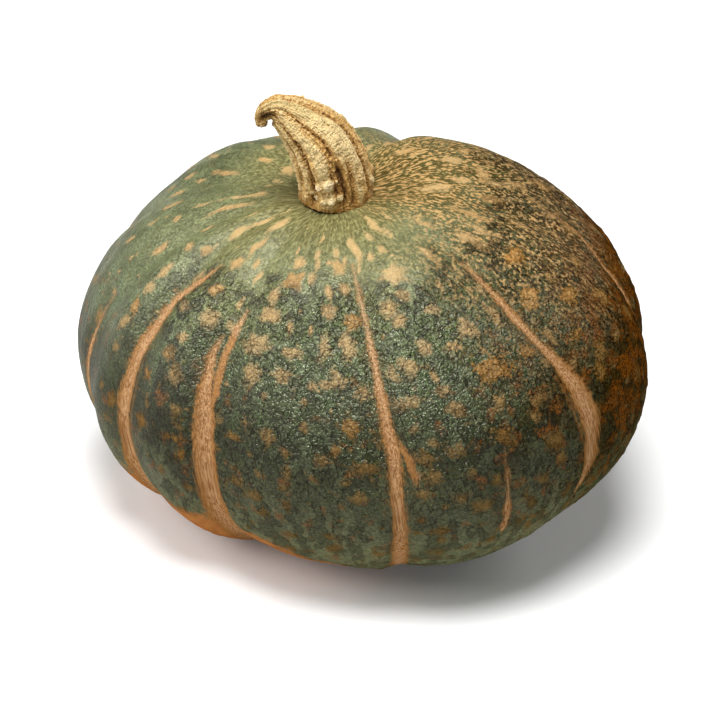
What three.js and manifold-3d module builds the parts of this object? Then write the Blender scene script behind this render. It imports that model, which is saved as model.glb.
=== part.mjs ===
// Kabocha squash: a lobed, flattened fruit and the dry stem seated on its crown.
// Millimetres, +Z up, front towards -Y. Azimuths run from the front towards +X.
import * as THREE from 'three';
import { mergeVertices } from 'three/addons/utils/BufferGeometryUtils.js';
import Module from 'manifold-3d';

// Fruit
const RADIUS = 100;             // mean radius at the widest girth
const CROWN_HEIGHT = 75.5;      // girth to crown, along the fruit's own axis
const BASE_DEPTH = 68.5;        // girth to blossom end
const GIRTH_POWER = 0.93;       // below 1 the shoulders are fuller
const HEIGHT_POWER = 0.98;      // below 1 the crown and base are flatter
const LEAN_LEFT = 7.0;          // degrees the axis leans towards -X
const LEAN_FRONT = 6.4;         // degrees the axis leans towards -Y
const STEM_DIMPLE = { depth: 5, radius: 24 };
const BLOSSOM_DIMPLE = { depth: 5, radius: 26 };
const REST_FLAT = 5;            // depth of the belly pressed flat by the ground
const LOBE_FADE = 66;           // lobes fade out inside this radius
const FURROW_WIDTH = 7.5;       // degrees

// Ovalness of the girth: [waves round the girth, share of the radius, azimuth of a crest]
const OVALS = [[1, 0.02, 24], [2, 0.10, 67], [3, 0.014, 19]];

// Lobes: [azimuth of the furrow, its depth, rise of the lobe that follows it]
const LOBES = [
  [-114, 1.0, 1.1], [-80, 0.3, 2.7], [-63, 0.3, 3.0], [-38, 1.3, 0.9],
  [8, 0.9, 1.1], [47, 0.5, 0.9], [83, 2.2, 1.0], [94, 0.4, 1.9],
  [157, 2.8, 2.5], [186, 0.4, 3.4],
];

// Stem: [x, y, z, radius] along its centreline, measured from the crown
const STEM_PATH = [
  [-0.4, 0.5, -6.0, 15.0], [-0.8, 0.4, 1.4, 14.3], [-1.3, -0.5, 8.6, 13.4],
  [-3.4, -1.5, 16.4, 12.7], [-7.8, -2.2, 25.0, 11.5], [-13.6, -2.9, 31.0, 9.1],
  [-18.6, -3.4, 35.0, 6.9], [-22.0, -3.8, 36.7, 5.2], [-25.2, -4.4, 36.2, 3.7],
  [-27.0, -5.0, 34.0, 2.6], [-27.1, -5.4, 31.4, 2.0],
];
const RIDGES = { count: 6, height: 0.10, turn: 35 };
const SEAT_GAP = 0.3;           // clearance between the stem's foot and the rind

// Facets
const FRUIT_AROUND = 84;
const FRUIT_DOWN = 40;
const STEM_AROUND = 42;
const STEM_ALONG = 30;

const RIND = new THREE.MeshStandardMaterial({ color: 0x4f6355, roughness: 0.5, metalness: 0 });
const CORK = new THREE.MeshStandardMaterial({ color: 0xb98a45, roughness: 0.8, metalness: 0 });

const wasm = await Module();
wasm.setup();

const radians = THREE.MathUtils.degToRad;

/** Rise of the lobes, less the furrows between them, at one azimuth in radians. */
function lobeRise(azimuth) {
  let rise = 0;
  LOBES.forEach(([furrow, depth, height], i) => {
    const [next] = LOBES[(i + 1) % LOBES.length];
    const span = radians(THREE.MathUtils.euclideanModulo(next - furrow, 360));
    const past = THREE.MathUtils.euclideanModulo(azimuth - radians(furrow), 2 * Math.PI);
    const along = Math.min(past / span, 1);
    rise += height * Math.abs(Math.sin(Math.PI * along)) ** 1.4;
    const away = Math.min(past, 2 * Math.PI - past) / radians(FURROW_WIDTH);
    rise -= depth * Math.exp(-(away ** 2));
  });
  return rise;
}

/** Moves a point of the unit sphere to the rind, grown outwards by a clearance. */
function placeOnRind(point, grow) {
  const azimuth = Math.atan2(point.x, -point.y);
  const cosine = point.z;
  const sine = Math.hypot(point.x, point.y);
  let oval = 1;
  for (const [waves, share, crest] of OVALS) {
    oval += share * Math.cos(waves * (azimuth - radians(crest)));
  }
  const half = cosine > 0 ? CROWN_HEIGHT : BASE_DEPTH;
  let out = RADIUS * sine ** GIRTH_POWER * oval;
  let up = half * Math.sign(cosine) * Math.abs(cosine) ** HEIGHT_POWER;
  const fade = Math.min(1, out / LOBE_FADE) ** 0.9;
  const rise = lobeRise(azimuth) * fade + grow;
  const length = Math.hypot(sine * half, cosine * RADIUS);
  out += rise * sine * half / length;
  up += rise * cosine * RADIUS / length;
  const dimple = cosine > 0 ? STEM_DIMPLE : BLOSSOM_DIMPLE;
  up -= Math.sign(cosine) * dimple.depth * Math.exp(-((out / dimple.radius) ** 2));
  return point.set(out * Math.sin(azimuth), -out * Math.cos(azimuth), up)
    .applyAxisAngle(new THREE.Vector3(0, 1, 0), -radians(LEAN_LEFT))
    .applyAxisAngle(new THREE.Vector3(1, 0, 0), radians(LEAN_FRONT));
}

/** Turns a geometry's poles to Z, welds it and moves each of its points. */
function reshape(geometry, place) {
  geometry.deleteAttribute('normal');
  geometry.deleteAttribute('uv');
  const welded = mergeVertices(geometry.rotateX(Math.PI / 2));
  const { position } = welded.attributes;
  const point = new THREE.Vector3();
  for (let i = 0; i < position.count; i += 1) {
    place(point.fromBufferAttribute(position, i));
    position.setXYZ(i, point.x, point.y, point.z);
  }
  return welded;
}

/** The whole fruit before it is pressed flat. */
function fruitGeometry(grow) {
  return reshape(new THREE.SphereGeometry(1, FRUIT_AROUND, FRUIT_DOWN),
    (point) => placeOnRind(point, grow));
}

/** The stem as a ridged, bent horn that starts below the crown. */
function stemGeometry(crown) {
  const path = new THREE.CatmullRomCurve3(
    STEM_PATH.map(([x, y, z]) => new THREE.Vector3(x, y, z).add(crown)));
  const sizes = new THREE.SplineCurve(
    STEM_PATH.map(([, , , radius], i) => new THREE.Vector2(i, radius)));
  const horn = new THREE.CylinderGeometry(1, 1, 1, STEM_AROUND, STEM_ALONG);
  return reshape(horn, (point) => {
    const along = THREE.MathUtils.clamp(point.z + 0.5, 0, 1);
    const angle = Math.atan2(point.y, point.x);
    const wave = Math.cos(RIDGES.count * (angle + radians(RIDGES.turn) * along));
    const reach = sizes.getPoint(along).y * (1 + RIDGES.height * (wave - 0.4));
    const forward = path.getTangent(along);
    const side = new THREE.Vector3(0, -1, 0).cross(forward).normalize();
    const front = new THREE.Vector3().crossVectors(forward, side);
    const [across, ahead] = [point.x * reach, point.y * reach];
    point.copy(path.getPoint(along)).addScaledVector(side, across).addScaledVector(front, ahead);
  });
}

/** The solid of a closed, welded geometry. */
function solidOf(geometry) {
  return new wasm.Manifold(new wasm.Mesh({
    numProp: 3,
    vertProperties: new Float32Array(geometry.attributes.position.array),
    triVerts: new Uint32Array(geometry.index.array),
  }));
}

/** A box with its top face at a height, wide enough to trim the fruit's underside. */
function groundSolid(height) {
  const side = 3 * RADIUS;
  const box = new THREE.BoxGeometry(side, side, side).translate(0, height - side / 2, 0);
  return solidOf(reshape(box, (point) => point));
}

/** A named, coloured mesh of a solid. */
function meshOf(name, solid, material) {
  const { vertProperties, triVerts } = solid.getMesh();
  const geometry = new THREE.BufferGeometry();
  geometry.setAttribute('position', new THREE.BufferAttribute(vertProperties, 3));
  geometry.setIndex(new THREE.BufferAttribute(triVerts, 1));
  geometry.computeVertexNormals();
  const mesh = new THREE.Mesh(geometry, material);
  mesh.name = name;
  return mesh;
}

const whole = fruitGeometry(0);
whole.computeBoundingBox();
const rest = whole.boundingBox.min.z + REST_FLAT;
const crown = placeOnRind(new THREE.Vector3(0, 0, 1), 0);
const fruit = solidOf(whole).subtract(groundSolid(rest));
const stem = solidOf(stemGeometry(crown)).subtract(solidOf(fruitGeometry(SEAT_GAP)));

const squash = new THREE.Group();
squash.name = 'kabocha_squash';
squash.add(meshOf('fruit', fruit, RIND), meshOf('stem', stem, CORK));

// The middle of the footprint becomes the origin.
const middle = new THREE.Box3().setFromObject(squash).getCenter(new THREE.Vector3());
squash.position.set(-middle.x, -middle.y, -rest);

export default squash;
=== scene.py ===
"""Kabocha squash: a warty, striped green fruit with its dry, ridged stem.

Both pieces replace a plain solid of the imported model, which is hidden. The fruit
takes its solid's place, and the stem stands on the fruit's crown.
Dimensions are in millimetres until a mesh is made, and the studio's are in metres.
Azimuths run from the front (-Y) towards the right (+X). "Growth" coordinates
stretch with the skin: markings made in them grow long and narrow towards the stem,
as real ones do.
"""

from __future__ import annotations

import itertools
import logging
from dataclasses import dataclass, field
from enum import IntEnum
from typing import Any, Callable, Iterable, Sequence, TypeAlias

import bpy
import numpy as np
from mathutils import Matrix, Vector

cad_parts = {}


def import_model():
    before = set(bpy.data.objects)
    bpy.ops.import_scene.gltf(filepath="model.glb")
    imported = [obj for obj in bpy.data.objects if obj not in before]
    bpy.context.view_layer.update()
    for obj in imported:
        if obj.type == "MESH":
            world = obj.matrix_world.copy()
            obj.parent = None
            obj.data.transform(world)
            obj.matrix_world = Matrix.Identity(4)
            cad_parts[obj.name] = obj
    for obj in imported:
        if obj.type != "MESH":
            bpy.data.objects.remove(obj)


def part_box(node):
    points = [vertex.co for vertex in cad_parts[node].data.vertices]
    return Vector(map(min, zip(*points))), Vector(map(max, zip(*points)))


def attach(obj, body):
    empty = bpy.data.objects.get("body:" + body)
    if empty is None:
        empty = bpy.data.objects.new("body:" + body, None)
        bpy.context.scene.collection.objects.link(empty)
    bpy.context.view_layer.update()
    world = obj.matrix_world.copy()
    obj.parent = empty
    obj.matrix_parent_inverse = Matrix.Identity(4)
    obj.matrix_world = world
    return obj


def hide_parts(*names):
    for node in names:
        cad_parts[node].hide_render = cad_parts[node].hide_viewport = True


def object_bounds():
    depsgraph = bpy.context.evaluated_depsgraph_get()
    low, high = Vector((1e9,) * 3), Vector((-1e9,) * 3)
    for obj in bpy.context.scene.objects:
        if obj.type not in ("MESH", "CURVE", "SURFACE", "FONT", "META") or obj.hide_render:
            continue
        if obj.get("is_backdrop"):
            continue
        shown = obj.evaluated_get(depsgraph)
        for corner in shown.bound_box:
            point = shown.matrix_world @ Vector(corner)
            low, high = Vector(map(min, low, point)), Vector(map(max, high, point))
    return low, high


logging.basicConfig(level=logging.INFO, format="%(message)s")
LOG = logging.getLogger("squash")

MM = 0.001

# A node, one of its sockets, or the number or colour that stands in for it
Signal: TypeAlias = Any

# Settings that the finishes give to node after node
TIMES = {"operation": "MULTIPLY"}
TIMES_PLUS = {"operation": "MULTIPLY_ADD"}
UNSIGNED = {"operation": "ABSOLUTE"}
LARGER = {"operation": "MAXIMUM"}
EASED = {"interpolation_type": "SMOOTHSTEP"}
TINT = {"data_type": "RGBA"}


class Seed(IntEnum):
    """Seeds of the noises and random draws, so that every run is the same."""

    SWELLS = 1
    HOLLOWS = 2
    KNOBS = 3
    WARTS = 4
    PLEATS = 5
    STEM_BEADS = 7
    ZONE_DRIFT = 11
    ZONE_EDGE = 12
    STEM_WANDER = 21
    STEM_LUMPS = 22
    STEM_FIBRES = 23
    STEM_GRIT = 24
    FLECKS = 31
    FLECK_PUSH = 32
    FLECK_EDGES = 33


# ---------------------------------------------------------------- helpers


def linear(code: str) -> tuple[float, float, float, float]:
    """Turns an sRGB colour into the linear colour that shaders use.

    Args:
        code: The colour as "#rrggbb".

    Returns:
        Linear red, green, blue and an alpha of 1.
    """
    parts = np.array([int(code[i : i + 2], 16) for i in (1, 3, 5)]) / 255.0
    low = parts / 12.92
    high = ((parts + 0.055) / 1.055) ** 2.4
    red, green, blue = np.where(parts <= 0.04045, low, high)
    return float(red), float(green), float(blue), 1.0


def smoothstep(low: float, high: float, value: np.ndarray) -> np.ndarray:
    """Eases from 0 at low to 1 at high, which may be the smaller of the two."""
    part = np.clip((value - low) / (high - low), 0.0, 1.0)
    return part * part * (3.0 - 2.0 * part)


def wrap(angle: np.ndarray) -> np.ndarray:
    """Brings angles in radians into the turn from -pi to pi."""
    return (angle + np.pi) % (2.0 * np.pi) - np.pi


def unit(vectors: np.ndarray) -> np.ndarray:
    """Brings a vector, or rows of them, to a length of 1."""
    return vectors / np.linalg.norm(vectors, axis=-1, keepdims=True)


@dataclass(frozen=True)
class LatticeNoise:
    """Smooth gradient noise through space, the same on every run.

    Each corner of a cubic lattice has a random slope. A point's value is the sum of
    its eight corners' slopes times its distance from them, weighted by how near
    each corner is.
    """

    seed: Seed

    def __call__(self, points: np.ndarray, size: float) -> np.ndarray:
        """Samples the noise.

        Args:
            points: Positions, one row each.
            size: Size of its features, in the units of the points.

        Returns:
            One value per point, mostly between -1 and 1.
        """
        random = np.random.default_rng(self.seed)
        table = random.permutation(256)
        slopes = unit(random.normal(size=(256, 3)))
        cell = np.floor(points / size).astype(int)
        part = points / size - cell
        ease = part**3 * (part * (part * 6.0 - 15.0) + 10.0)
        total = np.zeros(len(points))
        for corner in itertools.product((0, 1), repeat=3):
            i, j, k = (cell + corner).T
            slope = slopes[table[(table[(table[i & 255] + j) & 255] + k) & 255]]
            weight = np.prod(np.where(corner, ease, 1.0 - ease), axis=1)
            total += weight * ((part - corner) * slope).sum(axis=1)
        return total * 1.7


@dataclass(frozen=True)
class Spline:
    """A smooth curve through rows of numbers, spaced by their distance.

    Between two rows it is the cubic that meets both rows, and both rows' slopes.
    """

    rows: np.ndarray
    metric: int = 3

    def knots(self) -> np.ndarray:
        """Distance along the curve at each row, over its first few columns."""
        steps = np.linalg.norm(np.diff(self.rows[:, : self.metric], axis=0), axis=1)
        return np.concatenate([[0.0], np.cumsum(steps)])

    def __call__(self, at: np.ndarray) -> np.ndarray:
        """Samples the curve.

        Args:
            at: Distances along it.

        Returns:
            One row of numbers per distance.
        """
        knots = self.knots()
        slopes = np.gradient(self.rows, knots, axis=0)
        i = np.clip(np.searchsorted(knots, at) - 1, 0, len(knots) - 2)
        span = (knots[i + 1] - knots[i])[:, None]
        t = (at[:, None] - knots[i][:, None]) / span
        return (
            (2 * t**3 - 3 * t**2 + 1) * self.rows[i]
            + (t**3 - 2 * t**2 + t) * span * slopes[i]
            + (3 * t**2 - 2 * t**3) * self.rows[i + 1]
            + (t**3 - t**2) * span * slopes[i + 1]
        )


@dataclass(frozen=True)
class Ridge:
    """One furrow and the ridge after it: degrees, then millimetres."""

    furrow: float
    depth: float
    rise: float


def ridge_rise(
    ridges: tuple[Ridge, ...],
    angle: np.ndarray,
    bulge: Callable[[np.ndarray], np.ndarray],
    furrow_width: float,
) -> np.ndarray:
    """Rise of ridges that stand in a ring, less the furrows between them.

    A ridge is its rise times the bulge over its span, and a furrow is its depth
    times a bell curve about its angle.

    Args:
        ridges: The ridges in order around the ring.
        angle: Angles around the ring in radians.
        bulge: Gives the height of a ridge of rise 1, from its start at 0 to its
            end at 1.
        furrow_width: Half width of a furrow in degrees.

    Returns:
        Millimetres outwards.
    """
    rise = np.zeros_like(angle)
    for ridge, after in zip(ridges, ridges[1:] + ridges[:1]):
        start = np.radians(ridge.furrow)
        span = np.radians((after.furrow - ridge.furrow) % 360.0)
        along = np.minimum((angle - start) % (2.0 * np.pi) / span, 1.0)
        rise += ridge.rise * bulge(along)
        away = np.degrees(wrap(angle - start)) / furrow_width
        rise -= ridge.depth * np.exp(-(away**2))
    return rise


@dataclass
class MeshSheet:
    """Points, faces and per-point vectors of one closed mesh, in millimetres."""

    points: np.ndarray
    quads: np.ndarray
    triangles: np.ndarray = field(default_factory=lambda: np.zeros((0, 3), int))
    layers: dict[str, np.ndarray] = field(default_factory=dict)

    def build(self, name: str, material: bpy.types.Material) -> bpy.types.Object:
        """Makes the Blender object.

        Args:
            name: The piece's name.
            material: Its material.

        Returns:
            The new object, smooth shaded, standing in the shared frame.
        """
        mesh = bpy.data.meshes.new(name)
        corners = np.concatenate([self.quads.ravel(), self.triangles.ravel()])
        sizes = np.repeat([4, 3], [len(self.quads), len(self.triangles)])
        mesh.vertices.add(len(self.points))
        mesh.vertices.foreach_set("co", (self.points * MM).astype(np.float32).ravel())
        mesh.loops.add(len(corners))
        mesh.loops.foreach_set("vertex_index", corners.astype(np.int32))
        mesh.polygons.add(len(sizes))
        starts = np.concatenate([[0], np.cumsum(sizes)[:-1]])
        mesh.polygons.foreach_set("loop_start", starts.astype(np.int32))
        mesh.update(calc_edges=True)
        mesh.validate()
        mesh.shade_smooth()
        for layer, values in self.layers.items():
            attribute = mesh.attributes.new(layer, "FLOAT_VECTOR", "POINT")
            attribute.data.foreach_set("vector", values.astype(np.float32).ravel())
        mesh.materials.append(material)
        piece = bpy.data.objects.new(name, mesh)
        bpy.context.collection.objects.link(piece)
        LOG.info("%s: %d points, %d faces", name, len(self.points), len(sizes))
        return piece


class ShaderGraph:
    """The nodes of one material, each added with its settings and links."""

    def __init__(self, tree: bpy.types.NodeTree) -> None:
        """Empties the node tree of a material or world, ready for new nodes."""
        self.tree = tree
        tree.nodes.clear()

    def add(self, kind: str, *values: Any, **settings: Any) -> bpy.types.Node:
        """Adds one node with its settings and links.

        Args:
            kind: The node's type, without its "ShaderNode" prefix.
            *values: Numbers, colours, nodes or sockets for its inputs in order.
            **settings: Its own properties, and inputs by name, capitalised and
                with underscores for spaces.

        Returns:
            The node; where a node is given as a value, its first output is used.
        """
        node = self.tree.nodes.new(f"ShaderNode{kind}")
        named = {key: settings.pop(key) for key in list(settings) if key[0].isupper()}
        for key, value in settings.items():
            setattr(node, key, value)
        pairs = list(zip([socket for socket in node.inputs if socket.enabled], values))
        pairs += [(node.inputs[key.replace("_", " ")], value) for key, value in named.items()]
        for socket, value in pairs:
            if isinstance(value, bpy.types.Node):
                value = next(output for output in value.outputs if output.enabled)
            if isinstance(value, bpy.types.NodeSocket):
                self.tree.links.new(value, socket)
            else:
                socket.default_value = value
        return node


def new_material(name: str) -> tuple[bpy.types.Material, ShaderGraph]:
    """Starts a material.

    Args:
        name: The material's name.

    Returns:
        The material and its empty graph.
    """
    material = bpy.data.materials.new(name)
    material.use_nodes = True
    return material, ShaderGraph(material.node_tree)


def read_layer(g: ShaderGraph, name: str) -> tuple[bpy.types.NodeSocket, ...]:
    """Reads a layer of the mesh's points: the whole vector, then its three parts."""
    vector = g.add("Attribute", attribute_name=name).outputs["Vector"]
    return vector, *g.add("SeparateXYZ", vector).outputs


# ---------------------------------------------------------------- the fruit


@dataclass(frozen=True)
class Stripe:
    """One pale band from the crown down: rows of latitude, azimuth, half width."""

    rows: tuple[tuple[float, float, float], ...]
    warmth: float = 0.4


@dataclass(frozen=True)
class Mark:
    """One fleck: its place in degrees, and its size in millimetres before scaling."""

    azimuth: float
    latitude: float
    width: float
    height: float
    warmth: float = 0.3


LOBES = (
    Ridge(-114, 1.0, 1.1), Ridge(-80, 0.3, 2.7), Ridge(-63, 0.3, 3.0),
    Ridge(-38, 1.3, 0.9), Ridge(8, 0.9, 1.1), Ridge(47, 0.5, 0.9),
    Ridge(83, 2.2, 1.0), Ridge(94, 0.4, 1.9), Ridge(157, 2.8, 2.5),
    Ridge(186, 0.4, 3.4),
)

STRIPES = (
    Stripe(((60, -55, 0.5), (54, -58, 1.3), (46, -62, 2.0), (32, -63, 2.6),
            (16, -63.5, 3.3), (0, -63.5, 3.8), (-12, -64, 5.0), (-40, -64, 8.0)), 0.55),
    Stripe(((44, -40, 0.5), (38, -41, 1.3), (30, -40, 2.2), (22, -39, 4.0),
            (6, -38.5, 4.6), (-10, -38.5, 5.0), (-40, -39, 7.0)), 0.6),
    Stripe(((68, 7, 0.6), (56, 7.5, 0.9), (44, 8, 1.2), (36, 8, 1.6), (26, 8.2, 2.2),
            (18, 8.6, 2.6), (8, 8, 2.2), (-4, 7.6, 2.6), (-28, 6.5, 3.0),
            (-60, 6, 2.0)), 0.35),
    Stripe(((60, 47.5, 0.5), (52, 47, 1.1), (44, 46.5, 1.6), (36, 47.3, 1.5),
            (28, 48.6, 2.4), (18, 49.7, 4.0), (8, 49.8, 4.2), (-4, 48.5, 2.8),
            (-14, 46.5, 1.2), (-20, 46, 0.3)), 0.2),
    Stripe(((16, 30, 0.2), (8, 29.5, 0.7), (0, 29, 0.8), (-5, 28.5, 1.7),
            (-8, 28.6, 1.2), (-13, 28, 1.9), (-17, 28, 0.3)), 0.25),
    Stripe(((50, 92, 0.3), (43, 90, 0.8), (28, 84, 1.2), (10, 82, 1.8),
            (-20, 81, 2.2), (-40, 80, 1.0)), 0.3),
    Stripe(((40, 118, 0.3), (30, 120, 1.2), (16, 121, 2.6), (5, 121, 2.0),
            (-10, 120, 3.0), (-30, 120, 2.4), (-48, 119, 1.0)), 0.4),
    Stripe(((66, 154, 0.4), (50, 156, 1.0), (34, 156.5, 2.2), (20, 155.5, 4.0),
            (4, 156, 3.4), (-12, 156.5, 4.8), (-40, 157, 3.0), (-60, 157, 1.2)), 0.5),
    Stripe(((30, -175, 0.3), (20, -176, 1.2), (4, -176, 2.0), (-16, -175, 1.4),
            (-45, -175, 3.4)), 0.45),
    Stripe(((55, -150, 0.4), (40, -150.5, 1.2), (26, -149, 3.2), (10, -149, 4.4),
            (-6, -149.5, 3.2), (-24, -149, 2.2), (-44, -150, 4.0)), 0.5),
    Stripe(((50, -112, 0.4), (36, -112, 1.0), (22, -111.5, 1.6), (8, -111, 3.0),
            (-8, -111.5, 2.4), (-45, -111, 4.2)), 0.5),
    Stripe(((36, -84, 0.4), (16, -83, 1.4), (-8, -83, 2.2), (-40, -83, 4.0)), 0.5),
)

SIDE_STRANDS = (
    Stripe(((52, -35, 0.5), (46, -36, 1.5), (38, -37, 1.7), (28, -37, 1.8),
            (22, -37.5, 0.6)), 0.3),
    Stripe(((24, 9.2, 0.4), (18, 11, 1.4), (12, 12, 1.4), (8, 12, 0.3)), 0.3),
    Stripe(((26, 46.2, 0.3), (18, 46.4, 0.6), (8, 46.9, 0.6), (2, 47, 0.2)), 0.0),
    Stripe(((34, -60.4, 0.2), (18, -60, 0.5), (2, -60, 0.6), (-8, -60, 0.3)), 0.0),
    Stripe(((32, 159, 0.3), (18, 159.6, 1.3), (2, 159.4, 0.3)), 0.4),
    Stripe(((22, -146, 0.3), (6, -145.4, 1.5), (-12, -146, 0.3)), 0.4),
    Stripe(((12, -114, 0.3), (0, -114.6, 1.2), (-14, -114, 0.3)), 0.4),
)

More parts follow.
